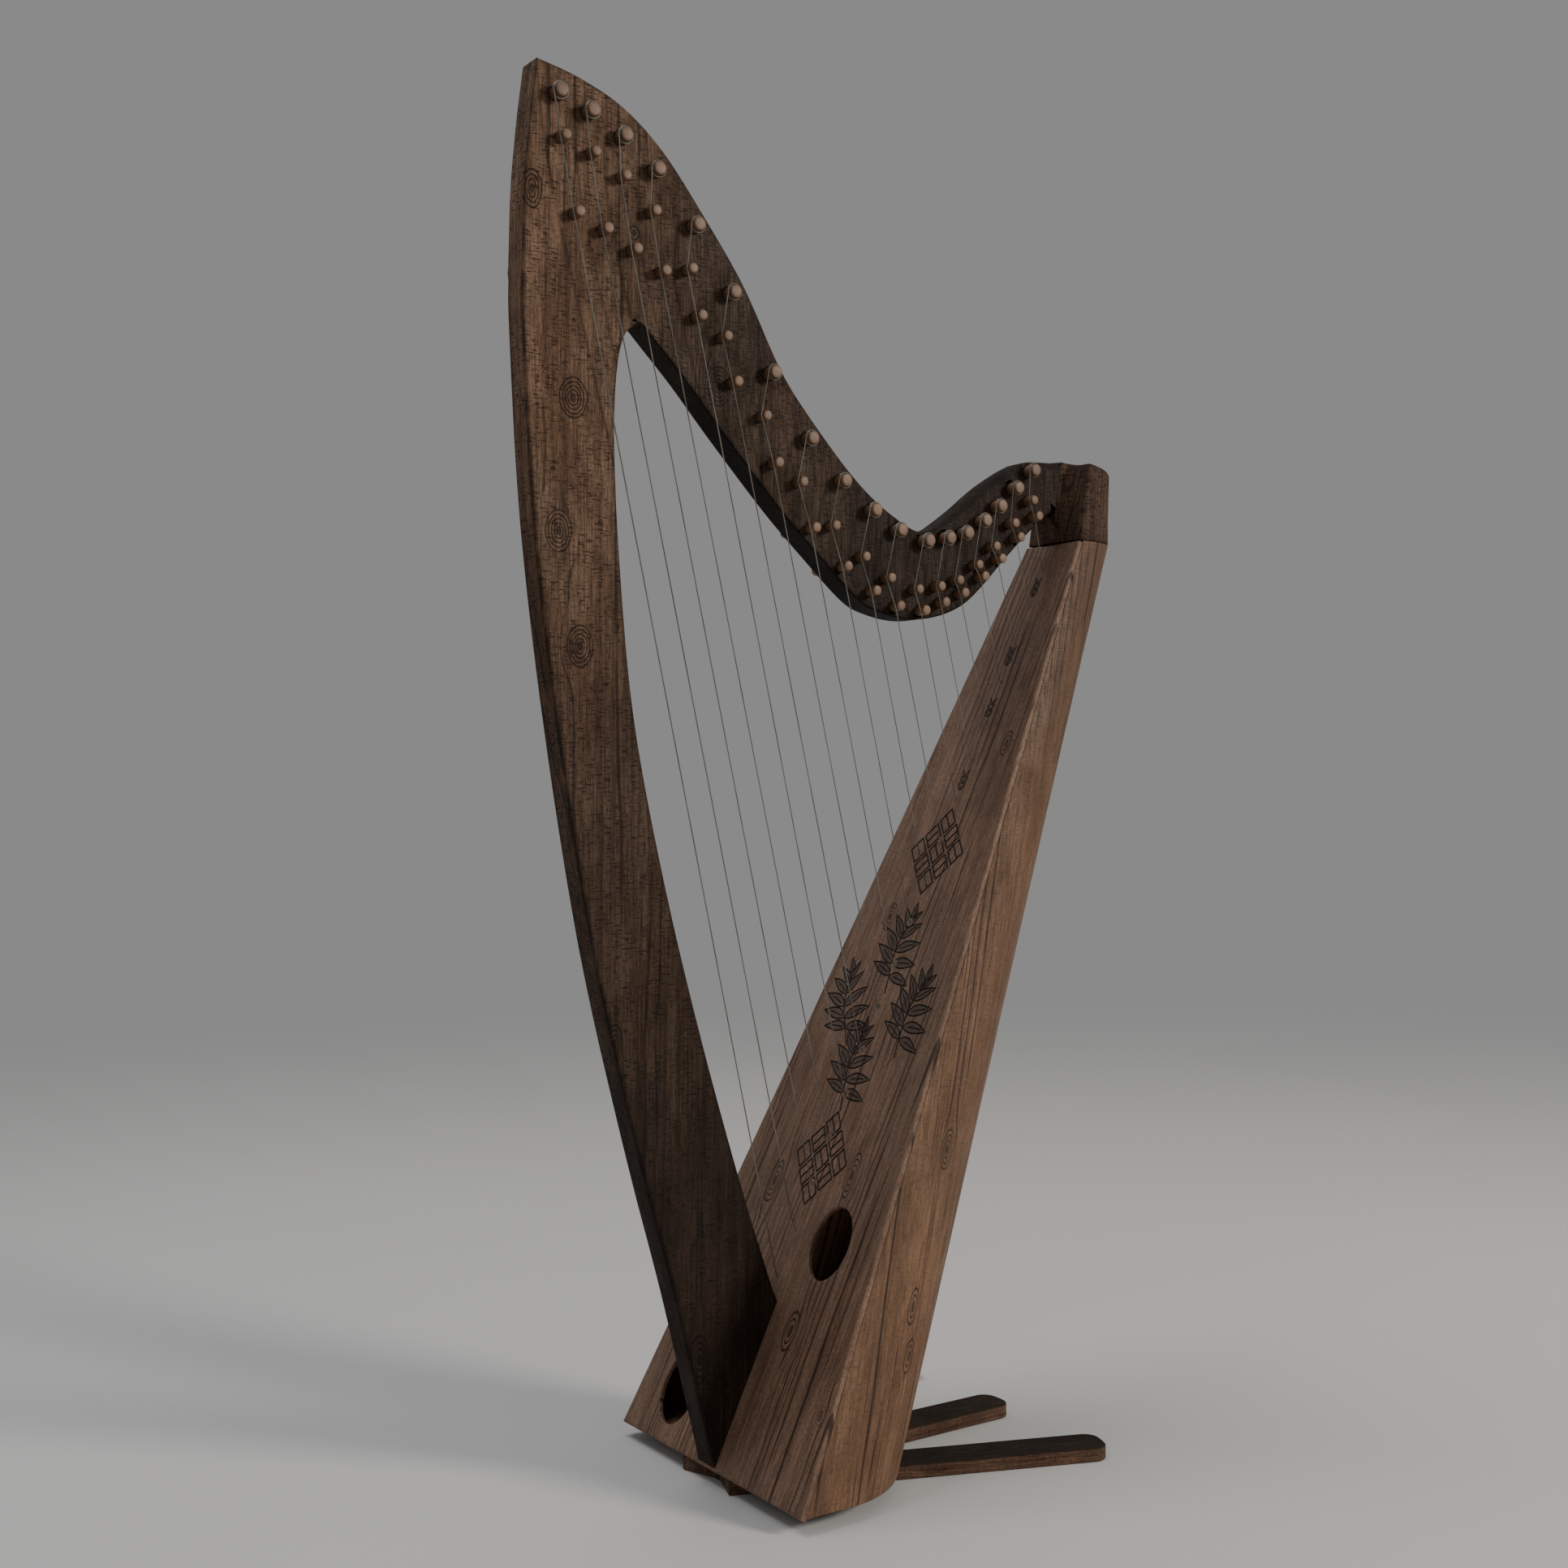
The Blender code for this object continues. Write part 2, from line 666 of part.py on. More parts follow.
def string_hole_mesh():
    shape = bmesh.new()
    wide = STRING_HOLE_RADIUS / math.cos(math.pi / STRING_HOLE_SIDES)
    profile = ((0.0, wide), (STRING_HOLE_LENGTH, wide))
    for index in range(1, STRINGS + 1):
        start = on_board(0.0, anchor_z(index)) - STRING_HOLE_START * INWARD
        add_turned(shape, start, INWARD, profile, STRING_HOLE_SIDES)
    return finish_mesh(shape, "string_holes")


def make_brace(name, index):
    middle = (anchor_z(index) + anchor_z(index + 1)) / 2.0 - BRACE_DROP
    low = middle - BRACE_HEIGHT / 2.0
    high = middle + BRACE_HEIGHT / 2.0
    reach = half_width(high) - BOX_WALL - BRACE_END_GAP
    return leaning_bar(name, low, high, RIB_BACK, BRACE_DEPTH, reach)


# ------------------------------------------------------------------ stand


def rounded_end(x, half):
    """The rear end of a leg, as (along, across) points from one side to the other."""
    line = []
    for i in range(LEG_CORNER_STEPS + 1):
        turn = math.pi / 2.0 * i / LEG_CORNER_STEPS
        along = x - LEG_CORNER * (1.0 - math.sin(turn))
        line.append((along, LEG_CORNER * (1.0 - math.cos(turn)) - half))
    mirrored = [(along, -across) for along, across in reversed(line)]
    return line + mirrored


def make_leg(name, outline):
    rings = []
    for z in (0.0, LEG_HEIGHT):
        rings.append([(x, y, z) for x, y in outline])
    return node(name, loft(name, rings, True), DARK_WOOD)


def splayed_leg_frame(side):
    """Front middle of a splayed leg, and its directions along and across."""
    along = Vector((math.cos(LEG_SPLAY), side * math.sin(LEG_SPLAY)))
    inward = Vector((math.sin(LEG_SPLAY), -side * math.cos(LEG_SPLAY)))
    start = Vector((LEG_FRONT_X, side * LEG_FRONT_Y)) + LEG_WIDTH / 2.0 * inward
    return start, along, inward


def splayed_leg_outline(side):
    start, along, inward = splayed_leg_frame(side)
    length = (LEG_REACH - start.x) / along.x
    half = LEG_WIDTH / 2.0
    outline = []
    for run, across in [(0.0, half), (0.0, -half), *rounded_end(length, half)]:
        outline.append(start + run * along + across * inward)
    return outline


def middle_leg_outline():
    """The middle leg, whose point fits between the splayed legs."""
    start, along, inward = splayed_leg_frame(-1.0)
    inner = start + (LEG_WIDTH / 2.0 + 3.0 * GAP) * inward
    half = LEG_WIDTH / 2.0
    tip = inner.x + inner.y / math.tan(LEG_SPLAY)
    neck_x = tip + half / math.tan(LEG_SPLAY)
    return [(tip, 0.0), (neck_x, -half), *rounded_end(LEG_REACH, half), (neck_x, half)]


def screw_profile(margin):
    """A countersunk screw, or its hole when a margin is added to the radius."""
    return (
        (0.0, SCREW_HEAD_RADIUS + margin),
        (SCREW_HEAD, SCREW_RADIUS + margin),
        (SCREW_SHANK + margin, SCREW_RADIUS + margin),
        (SCREW_LENGTH + margin, SCREW_POINT_RADIUS + margin),
    )


def make_legs(bottom_board):
    """The three legs, screwed to the board that closes the box."""
    legs = [
        make_leg("middle_leg", middle_leg_outline()),
        make_leg("near_leg", splayed_leg_outline(-1.0)),
        make_leg("far_leg", splayed_leg_outline(1.0)),
    ]
    places = [(LEG_SCREW_X, 0.0)]
    for side in (-1.0, 1.0):
        start, along, _ = splayed_leg_frame(side)
        place = start + (LEG_SCREW_X - start.x) / along.x * along
        places.append((place.x, place.y))
    holes = bmesh.new()
    up = (0.0, 0.0, 1.0)
    recess = ((-SCREW_TOOL_START, SCREW_HEAD_RADIUS + GAP), *screw_profile(GAP))
    for leg, (x, y) in zip(legs, places):
        start = (x, y, SCREW_RECESS)
        screw = turned("screw", start, up, screw_profile(0.0), SCREW_SIDES)
        node(leg.name.replace("leg", "leg_screw"), screw, STEEL)
        boolean(leg, turned("hole", start, up, recess, SCREW_SIDES), "DIFFERENCE")
        add_turned(holes, start, up, screw_profile(GAP), SCREW_SIDES)
    boolean(bottom_board, finish_mesh(holes, "screw_holes"), "DIFFERENCE")


# ------------------------------------------------------------------ joinery


def add_dowel(name, centre, axis, half_length, radius, pieces):
    """A dowel and its hole in each of the pieces that it joins."""
    along = Vector(axis).normalized()
    start = Vector(centre) - half_length * along
    profile = chamfered(2.0 * half_length, radius)
    node(name, turned(name, start, along, profile, DOWEL_SIDES), PEG_WOOD)
    for piece in pieces:
        length = 2.0 * half_length + 4.0 * GAP
        tool = hole(start - 2.0 * GAP * along, along, radius + GAP, length, DOWEL_SIDES)
        boolean(piece, tool, "DIFFERENCE")


def join_pillar_to_neck(pillar, neck):
    rear = Vector((NECK_BOTTOM[-1][0], 0.0, NECK_BOTTOM[-1][1]))
    front = Vector((NECK_FRONT[0][0], 0.0, NECK_FRONT[0][1]))
    run = (rear - front).normalized()
    across = Vector((-run.z, 0.0, run.x))
    for name, share in NECK_DOWELS:
        centre = front.lerp(rear, share) + Vector((0.0, 0.0, GAP / 2.0))
        add_dowel(name, centre, across, DOWEL_HALF_LENGTH, DOWEL_RADIUS, (pillar, neck))


def join_neck_to_block(neck, shoulder):
    z = (NECK_BOTTOM[0][1] + NECK_TOP[-1][1]) / 2.0
    centre = Vector((nose_x(z), 0.0, z))
    half = Vector(TENON_HALF)
    tenon = block("neck_tenon", centre - half, centre + half)
    node("neck_tenon", tenon, PEG_WOOD)
    room = half + Vector((GAP, GAP, GAP))
    for piece in (neck, shoulder):
        boolean(piece, block("mortise", centre - room, centre + room), "DIFFERENCE")


def join_block_to_box(shoulder, top_block):
    x = front_x(BOX_TOP_Z) + TOP_STRAIGHT + BLOCK_DOWEL_BACK
    up = (0.0, 0.0, 1.0)
    pieces = (shoulder, top_block)
    for name, y in (("block_dowel_near", -BLOCK_DOWEL_Y), ("block_dowel_far", BLOCK_DOWEL_Y)):
        centre = (x, y, BOX_TOP_Z + BLOCK_DOWEL_RISE)
        add_dowel(name, centre, up, BLOCK_DOWEL_HALF_LENGTH, BLOCK_DOWEL_RADIUS, pieces)


def bolt_pillar(pillar, soundboard, toe_block):
    """A bolt from inside the box, through the toe block and soundboard, into the pillar."""
    clamped = TOE_BLOCK_DEPTH / LEAN_LENGTH + SOUNDBOARD
    seat = on_board(0.0, BOLT_Z) + clamped * INWARD
    head = seat + (BOLT_HEAD + 3.0 * GAP) * INWARD
    outward = -INWARD
    length = clamped + BOLT_HEAD + BOLT_REACH
    profile = (
        (0.0, BOLT_HEAD_RADIUS),
        (BOLT_HEAD, BOLT_HEAD_RADIUS),
        (BOLT_HEAD, BOLT_RADIUS),
        (length, BOLT_RADIUS),
    )
    node("pillar_bolt", turned("pillar_bolt", head, outward, profile, DOWEL_SIDES), STEEL)
    hole_start = seat + BOLT_HOLE_START * INWARD
    for piece in (pillar, soundboard, toe_block):
        tool = hole(hole_start, outward, BOLT_RADIUS + GAP, length, DOWEL_SIDES)
        boolean(piece, tool, "DIFFERENCE")


# ------------------------------------------------------------------ pegs and strings


def make_pegs():
    """Tuning pegs, each with its origin on its own turning axis."""
    out = BOARD / 2.0 + PROUD
    start = (0.0, -out, 0.0)
    mesh = turned("tuning_peg", start, (0.0, 1.0, 0.0), chamfered(2.0 * out, PEG_RADIUS), PEG_SIDES)
    for index in range(1, STRINGS + 1):
        x, z = spread(PEG_ROW, index)
        node(f"tuning_peg_{index:02d}", mesh.copy(), PEG_WOOD, (x, 0.0, z))


def make_strings():
    for index in range(1, STRINGS + 1):
        points, radii = string_path(index)
        name = f"string_{index:02d}"
        node(name, tube(name, points, radii, STRING_SIDES), STRING_MATERIAL)


def main():
    pillar = make_pillar()
    neck = make_neck()
    shoulder = make_shoulder_block()
    soundboard = make_soundboard()
    make_box_back()
    bottom_board = make_plug("bottom_board", BOX_BOTTOM_Z + GAP, BOX_BOTTOM_Z + BOTTOM_BOARD)
    top_block = make_plug("top_block", BOX_TOP_Z - TOP_BLOCK, BOX_TOP_Z - GAP)
    toe_low = BOX_BOTTOM_Z + BOTTOM_BOARD + GAP
    toe_block = leaning_bar(
        "toe_block", toe_low, TOE_BLOCK_TOP, BOARD_BACK, TOE_BLOCK_DEPTH, TOE_BLOCK_HALF_WIDTH
    )
    rib = leaning_bar(
        "string_rib", RIB_BOTTOM_Z, RIB_TOP_Z, BOARD_BACK, RIB_BACK - BOARD_BACK - GAP, RIB_HALF_WIDTH
    )
    for piece in (soundboard, rib):
        boolean(piece, string_hole_mesh(), "DIFFERENCE")
    make_brace("lower_brace", BRACE_STRINGS[0])
    make_brace("upper_brace", BRACE_STRINGS[1])
    make_legs(bottom_board)
    join_pillar_to_neck(pillar, neck)
    join_neck_to_block(neck, shoulder)
    join_block_to_box(shoulder, top_block)
    bolt_pillar(pillar, soundboard, toe_block)
    make_pegs()
    make_strings()


main()
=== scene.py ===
import json
import math

import bmesh
import bpy
import numpy as np
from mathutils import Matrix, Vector
from mathutils.geometry import delaunay_2d_cdt


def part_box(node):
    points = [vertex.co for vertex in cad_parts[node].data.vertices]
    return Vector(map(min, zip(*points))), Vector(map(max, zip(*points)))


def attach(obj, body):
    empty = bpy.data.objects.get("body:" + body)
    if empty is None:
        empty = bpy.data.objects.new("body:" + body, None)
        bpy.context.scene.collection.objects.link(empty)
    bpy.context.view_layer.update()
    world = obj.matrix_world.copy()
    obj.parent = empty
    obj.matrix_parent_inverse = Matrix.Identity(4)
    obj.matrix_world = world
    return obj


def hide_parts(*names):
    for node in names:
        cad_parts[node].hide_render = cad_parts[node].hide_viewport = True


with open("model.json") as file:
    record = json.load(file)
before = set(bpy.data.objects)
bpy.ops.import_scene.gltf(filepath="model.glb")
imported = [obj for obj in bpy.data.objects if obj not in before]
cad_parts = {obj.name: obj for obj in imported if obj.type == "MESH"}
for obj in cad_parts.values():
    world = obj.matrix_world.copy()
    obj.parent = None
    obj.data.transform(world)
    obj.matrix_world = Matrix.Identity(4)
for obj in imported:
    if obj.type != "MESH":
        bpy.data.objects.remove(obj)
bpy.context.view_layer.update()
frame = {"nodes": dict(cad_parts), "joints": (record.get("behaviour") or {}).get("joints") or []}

# The visual model of a small celtic harp. Outlines, bores, string paths and sizes are read
# from the CAD nodes, so that each piece lies where the CAD says.

NODES = frame["nodes"]
BODY = "harp_body"
MM = 0.001
WEAR_AND_SHADE_BAND = 0.0022  # flat strip beside a rounded edge, over which its wear and its painted edge shade fade out
SHARP = math.radians(32.0)

# ------------------------------------------------------------------ reading the CAD


def cad_shape(name):
    shape = bmesh.new()
    shape.from_mesh(NODES[name].data)
    bmesh.ops.remove_doubles(shape, verts=shape.verts, dist=1e-6)
    shape.normal_update()
    shape.verts.index_update()
    return shape


def flat_loops(name, normal):
    """Edge loops round a CAD node's largest flat face on one side, longest first."""
    shape = cad_shape(name)
    levels = {}
    for face in shape.faces:
        if face.normal.dot(normal) > 0.9995:
            level = round(face.verts[0].co.dot(normal), 5)
            levels.setdefault(level, []).append(face)
    flat = max(levels.values(), key=lambda faces: sum(f.calc_area() for f in faces))
    side = set(flat)
    ahead = {}
    for face in flat:
        for loop in face.loops:
            others = [f for f in loop.edge.link_faces if f is not face]
            if not any(f in side for f in others):
                ahead[loop.vert] = loop.link_loop_next.vert
    loops = []
    while ahead:
        start, after = ahead.popitem()
        run = [start.co.copy()]
        while after is not start:
            run.append(after.co.copy())
            after = ahead.pop(after)
        loops.append(run)
    shape.free()
    loops.sort(key=perimeter, reverse=True)
    return loops


def perimeter(loop):
    return sum((p - loop[i - 1]).length for i, p in enumerate(loop))


SMALLEST_RUN = 0.005  # only the end faces of a string's coil are this small round


def string_rings(name):
    """Centres and radii of a CAD string's rings, from its coil to its knot."""
    shape = cad_shape(name)
    caps = [f for f in shape.faces if f.calc_perimeter() < SMALLEST_RUN]
    end = max(caps, key=lambda f: f.calc_center_median().z).calc_center_median()
    ring = sorted(shape.verts, key=lambda v: (v.co - end).length)[:4]
    seen = set(ring)
    rings = []
    while ring:
        centre = sum((v.co for v in ring), Vector()) / len(ring)
        radius = sum((v.co - centre).length for v in ring) / len(ring)
        rings.append((centre, radius))
        beyond = {e.other_vert(v) for v in ring for e in v.link_edges} - seen
        seen |= beyond
        ring = sorted(beyond, key=lambda v: v.index)
    shape.free()
    return rings


# ------------------------------------------------------------------ outlines in a plane


def signed_area(loop):
    return 0.5 * sum(loop[i - 1].x * p.y - p.x * loop[i - 1].y for i, p in enumerate(loop))


def turning(loop, sign):
    """The loop anticlockwise for +1, clockwise for -1."""
    return list(loop) if signed_area(loop) * sign > 0.0 else list(reversed(loop))


def ease(t):
    """Smooth step of a share between 0 and 1."""
    return t * t * (3.0 - 2.0 * t)


def clamped(value):
    return max(0.0, min(1.0, value))


def slope(before, after, reach):
    """Tangent at a point between two others, no longer than the run it is used on."""
    along = 0.5 * (after - before)
    return along * min(1.0, reach / max(along.length, 1e-9))


def curve(points, steps):
    """Smooth line through the points, without the last one."""
    guide = [2.0 * points[0] - points[1], *points, 2.0 * points[-1] - points[-2]]
    line = []
    for i in range(1, len(guide) - 2):
        a, b, c, d = guide[i - 1 : i + 3]
        reach = (c - b).length
        leave = slope(a, c, reach)
        arrive = slope(b, d, reach)
        for step in range(steps):
            t = step / steps
            swing = leave * t * (1.0 - t) * (1.0 - t) - arrive * t * t * (1.0 - t)
            line.append(b + (c - b) * ease(t) + swing)
    return line


def rounded_outline(loop, steps, corner=math.radians(24.0)):
    """The loop with more points on its curves, and its corners kept."""
    count = len(loop)
    corners = []
    for i, p in enumerate(loop):
        before = p - loop[i - 1]
        after = loop[(i + 1) % count] - p
        if before.angle(after) > corner:
            corners.append(i)
    line = []
    for k, start in enumerate(corners):
        end = corners[(k + 1) % len(corners)]
        run = [loop[j % count] for j in range(start, end + (count if end <= start else 0) + 1)]
        line.extend(curve(run, steps) if len(run) > 2 else curve(run, 1))
    return line


def inset(loop, distances):
    """Moves every point of the loop to its left by its own distance."""
    moved = []
    count = len(loop)
    for i, p in enumerate(loop):
        before = (p - loop[i - 1]).normalized()
        after = (loop[(i + 1) % count] - p).normalized()
        mitre = Vector((-before.y - after.y, before.x + after.x))
        moved.append(p + mitre * (2.0 / max(mitre.length_squared, 0.6)) * distances[i])
    return moved


def inside(point, loop):
    hit = False
    for i, b in enumerate(loop):
        a = loop[i - 1]
        if (a.y > point.y) != (b.y > point.y):
            if point.x < a.x + (point.y - a.y) / (b.y - a.y) * (b.x - a.x):
                hit = not hit
    return hit


def is_sliver(corners):
    """Whether a triangle is as good as a line, as happens along straight borders."""
    longest = max((p - corners[i - 1]).length_squared for i, p in enumerate(corners))
    return abs(signed_area(corners)) < 2e-4 * longest


def ellipse(u, v, half_u, half_v, sides):
    ring = []
    for i in range(sides):
        angle = 2.0 * math.pi * i / sides
        ring.append(Vector((u + half_u * math.cos(angle), v + half_v * math.sin(angle))))
    return ring


def skin(shape, rings):
    """Faces between rings of as many points each."""
    for lower, upper in zip(rings, rings[1:]):
        for i in range(len(lower)):
            shape.faces.new((lower[i - 1], lower[i], upper[i], upper[i - 1]))


def skinned(shape, rings):
    """A closed shape from its rings, with a face on either end."""
    skin(shape, rings)
    shape.faces.new(rings[0])
    shape.faces.new(rings[-1][::-1])
    bmesh.ops.recalc_face_normals(shape, faces=shape.faces)
    return shape


# ------------------------------------------------------------------ plates with worked edges

ROUNDING = (0.0, 30.0, 60.0, 90.0)  # turn of the rounded edge, in degrees
JOINT_RADIUS = 0.00006  # edges this sharp lie along glued joints and show no wear and no painted edge shade


def half_profile(radius, thickness):
    """(inset, depth, share of wear and painted edge shade) from a face round one edge."""
    flat = min(WEAR_AND_SHADE_BAND, max(0.45 * thickness - radius, 0.0002))
    glued = radius <= JOINT_RADIUS
    half = [(radius + WEAR_AND_SHADE_BAND, 0.0, 0.0)]
    for turn in ROUNDING:
        angle = math.radians(turn)
        worn_and_shaded = 0.0 if glued else 1.0 if 0.0 < turn < 90.0 else 0.55
        half.append((radius * (1.0 - math.sin(angle)), radius * (1.0 - math.cos(angle)), worn_and_shaded))
    half.append((0.0, radius + flat, 0.0))
    return half


def edge_profile(radius, far_radius, thickness):
    """(inset, depth, share of wear and painted edge shade) from the near face, round both edges,
    to the far face.
    """
    far = half_profile(far_radius, thickness)
    return half_profile(radius, thickness) + [(a, thickness - d, w) for a, d, w in reversed(far)]


class Plate:
    """A sheet of wood laid out in a plane and put in place by a function of (u, v, depth)."""

    def __init__(self, name, thickness, place):
        self.name = name
        self.thickness = thickness
        self.place = place
        self.shape = bmesh.new()
        self.grain = self.shape.verts.layers.float_vector.new("grain")
        self.wear = self.shape.verts.layers.float.new("wear")
        self.borders = []
        self.rims = []

    def vert(self, point, depth, worn_and_shaded=0.0):
        made = self.shape.verts.new(self.place(point.x, point.y, depth))
        made[self.grain] = Vector((point.x, depth, point.y)) / MM
        made[self.wear] = worn_and_shaded
        return made

    def border(self, loop, radii, far_radii=None):
        """Works an edge all round a loop, whose left side is wood."""
        pairs = zip(radii, far_radii or radii)
        profiles = [edge_profile(near, far, self.thickness) for near, far in pairs]
        rings = []
        for level in range(len(profiles[0])):
            moved = inset(loop, [p[level][0] for p in profiles])
            ring = []
            for point, profile in zip(moved, profiles):
                ring.append(self.vert(point, profile[level][1], profile[level][2]))
            rings.append(ring)
        skin(self.shape, rings)
        flat = inset(loop, [p[0][0] for p in profiles])
        self.borders.append(flat)
        self.rims.append((flat, rings[0], rings[-1]))

    def fill(self, far, grid=(), grooves=None):
        """Closes the near or the far face between all the worked edges."""
        points = []
        known = []
        edges = []
        for flat, near_ring, far_ring in self.rims:
            start = len(points)
            points.extend(flat)
            known.extend(far_ring if far else near_ring)
            edges.extend((start + i, start + (i + 1) % len(flat)) for i in range(len(flat)))
        points.extend(grid)
        if grooves:
            for line, closed in grooves.guide_lines():
                start = len(points)
                points.extend(line)
                last = len(line) if closed else len(line) - 1
                edges.extend((start + i, start + (i + 1) % len(line)) for i in range(last))
        spots, _, faces, sources, _, _ = delaunay_2d_cdt(points, edges, [], 0, 1e-7)
        outer, *openings = self.borders
        extents = []
        for opening in openings:
            middle = sum(opening, Vector((0.0, 0.0))) / len(opening)
            extents.append((middle, max((p - middle).length for p in opening), opening))
        depths = grooves.depths(spots) if grooves else [0.0] * len(spots)
        made = []
        for spot, source, depth in zip(spots, sources, depths):
            old = [s for s in source if s < len(known)]
            if old:
                made.append(known[old[0]])
            else:
                made.append(self.vert(spot, self.thickness if far else depth))
        middles = []
        kept = []
        for face in faces:
            middle = sum((spots[i] for i in face), Vector((0.0, 0.0))) / len(face)
            if is_sliver([spots[i] for i in face]) or not inside(middle, outer):
                continue
            if any((middle - c).length < r and inside(middle, o) for c, r, o in extents):
                continue
            kept.append(face)
            middles.append(middle)
        slots = grooves.slots(middles) if grooves else [0] * len(kept)
        for face, index in zip(kept, slots):
            corners = [made[i] for i in face]
            if len(set(corners)) == 3:
                self.shape.faces.new(corners).material_index = index
        loose = [v for v in made if v.is_valid and not v.link_faces]
        bmesh.ops.delete(self.shape, geom=list(dict.fromkeys(loose)), context="VERTS")

    def finish(self, materials, node_names=()):
        bmesh.ops.recalc_face_normals(self.shape, faces=self.shape.faces)
        return piece(self.name, self.shape, materials, node_names)


def piece(name, shape, materials, node_names=(), body=BODY, location=None):
    """Turns a shape into a smooth piece that rides on a body and stands for CAD nodes."""
    mesh = bpy.data.meshes.new(name)
    shape.to_mesh(mesh)
    shape.free()
    mesh.shade_smooth()
    mesh.set_sharp_from_angle(angle=SHARP)
    for one in materials:
        mesh.materials.append(one)
    made = bpy.data.objects.new(name, mesh)
    if location is not None:
        made.location = location
    bpy.context.scene.collection.objects.link(made)
    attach(made, body)
    if node_names:
        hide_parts(*node_names)
    return made


# ------------------------------------------------------------------ material graphs


class Graph:
    """A node material, built from the coordinates to the shader."""

    def __init__(self, name):
        self.material = bpy.data.materials.new(name)
        self.material.use_nodes = True
        self.tree = self.material.node_tree
        self.shader = self.tree.nodes["Principled BSDF"]

    def put(self, socket, value):
        if isinstance(value, bpy.types.NodeSocket):
            self.tree.links.new(value, socket)
        else:
            socket.default_value = value

    def node(self, kind, inputs, **settings):
        made = self.tree.nodes.new(kind)
        for key, value in settings.items():
            setattr(made, key, value)
        for key, value in inputs.items():
            self.put(made.inputs[key], value)
        return made

    def math(self, operation, a, b=0.0):
        return self.node("ShaderNodeMath", {0: a, 1: b}, operation=operation).outputs[0]

    def add(self, a, b):
        return self.math("ADD", a, b)

    def times(self, a, b):
        return self.math("MULTIPLY", a, b)

    def remap(self, value, low, high):
        """Smooth step from 0 at low to 1 at high, whichever of them is larger."""
        values = {"Value": value, "From Min": min(low, high), "From Max": max(low, high)}
        values.update({"To Min": float(low > high), "To Max": float(low <= high)})
        made = self.node("ShaderNodeMapRange", values, interpolation_type="SMOOTHSTEP")
        return made.outputs["Result"]

    def stretch(self, vector, scale):
        made = self.node("ShaderNodeVectorMath", {0: vector, 1: scale}, operation="MULTIPLY")
        return made.outputs["Vector"]

    def length(self, a, b):
        return self.math("SQRT", self.add(self.times(a, a), self.times(b, b)))

    def noise(self, vector, scale, detail, roughness=0.5):
        values = {"Vector": self.stretch(vector, scale), "Scale": 1.0, "Detail": detail}
        values["Roughness"] = roughness
        return self.node("ShaderNodeTexNoise", values).outputs["Fac"]

    def noise_line(self, value, scale, detail):
        values = {"W": value, "Scale": scale, "Detail": detail}
        return self.node("ShaderNodeTexNoise", values, noise_dimensions="1D").outputs["Fac"]

    def mix(self, share, a, b):
        made = self.node("ShaderNodeMix", {}, data_type="RGBA")
        self.put(made.inputs[0], share)
        self.put(made.inputs[6], a if isinstance(a, bpy.types.NodeSocket) else (*a, 1.0))
        self.put(made.inputs[7], b if isinstance(b, bpy.types.NodeSocket) else (*b, 1.0))
        return made.outputs[2]

    def blend(self, share, a, b):
        made = self.node("ShaderNodeMix", {}, data_type="FLOAT")
        self.put(made.inputs[0], share)
        self.put(made.inputs[2], a)
        self.put(made.inputs[3], b)
        return made.outputs[0]

    def attribute(self, name, output):
        return self.node("ShaderNodeAttribute", {}, attribute_name=name).outputs[output]

    def split(self, vector):
        return self.node("ShaderNodeSeparateXYZ", {"Vector": vector}).outputs

    def bump(self, height, strength, distance):
        values = {"Height": height, "Strength": strength, "Distance": distance}
        self.put(self.shader.inputs["Normal"], self.node("ShaderNodeBump", values).outputs[0])


def coordinates(graph, source):
    """(across, depth, along) in millimetres: painted on the mesh, or the object's own."""
    if source == "grain":
        return graph.attribute("grain", "Vector")
    place = graph.node("ShaderNodeTexCoord", {}).outputs["Object"]
    return graph.stretch(place, (1000.0, 1000.0, 1000.0))


def near_faces(graph, depth, thickness):
    """1 close to either face of a board, 0 within its thickness."""
    front = graph.remap(depth, 3.2, 1.6)
    return graph.math("MAXIMUM", front, graph.remap(depth, thickness - 3.2, thickness - 1.6))


def knot(graph, place, across, along, spot):
    """Oval rings round a knot: (cover, ring lines, push on the grain around it)."""
    middle, height, half, tall, rings = spot
    wobble = graph.noise(place, (1 / 9, 1 / 40, 1 / 14), 1.0)
    across_off = graph.add(across, -middle)
    da = graph.times(graph.add(across_off, graph.times(graph.add(wobble, -0.5), 2.4)), 1 / half)
    dv = graph.times(graph.add(along, -height), 1 / tall)
    far = graph.length(da, dv)
    cover = graph.remap(far, 1.06, 0.94)
    turn = graph.math("FRACT", graph.times(far, rings))
    line = graph.times(graph.remap(turn, 0.45, 0.66), graph.remap(turn, 0.98, 0.80))
    core = graph.remap(far, 0.30, 0.14)
    rim = graph.times(graph.remap(far, 0.86, 0.96), graph.remap(far, 1.08, 1.0))
    lines = graph.math("MAXIMUM", graph.math("MAXIMUM", line, rim), graph.times(core, 0.8))
    pull = graph.remap(far, 2.5, 0.7)
    push = graph.times(graph.times(across_off, pull), -0.82)
    return cover, lines, push


DIMMED = (0.55, 0.53, 0.50)
SHADED = (0.006, 0.004, 0.003)
PATTERNS = {  # size (across, depth, along) in millimetres, detail, roughness, low and high ends
    "pores": ((1.1, 1.1, 26), 3.0, 0.65, 0.46, 0.62),
    "ticks": ((8, 8, 1.5), 3.0, 0.6, 0.52, 0.62),
    "streaks": ((2.9, 3.5, 150), 4.0, 0.65, 0.45, 0.66),
    "bands": ((10, 12, 280), 2.0, 0.55, 0.48, 0.64),
    "blotch": ((42, 42, 75), 4.0, 0.65, 0.38, 0.62),
    "tone": ((120, 120, 210), 1.0, 0.5, 0.36, 0.64),
    "speckle": ((2.2, 2.2, 3.5), 2.0, 0.6, 0.38, 0.62),
}


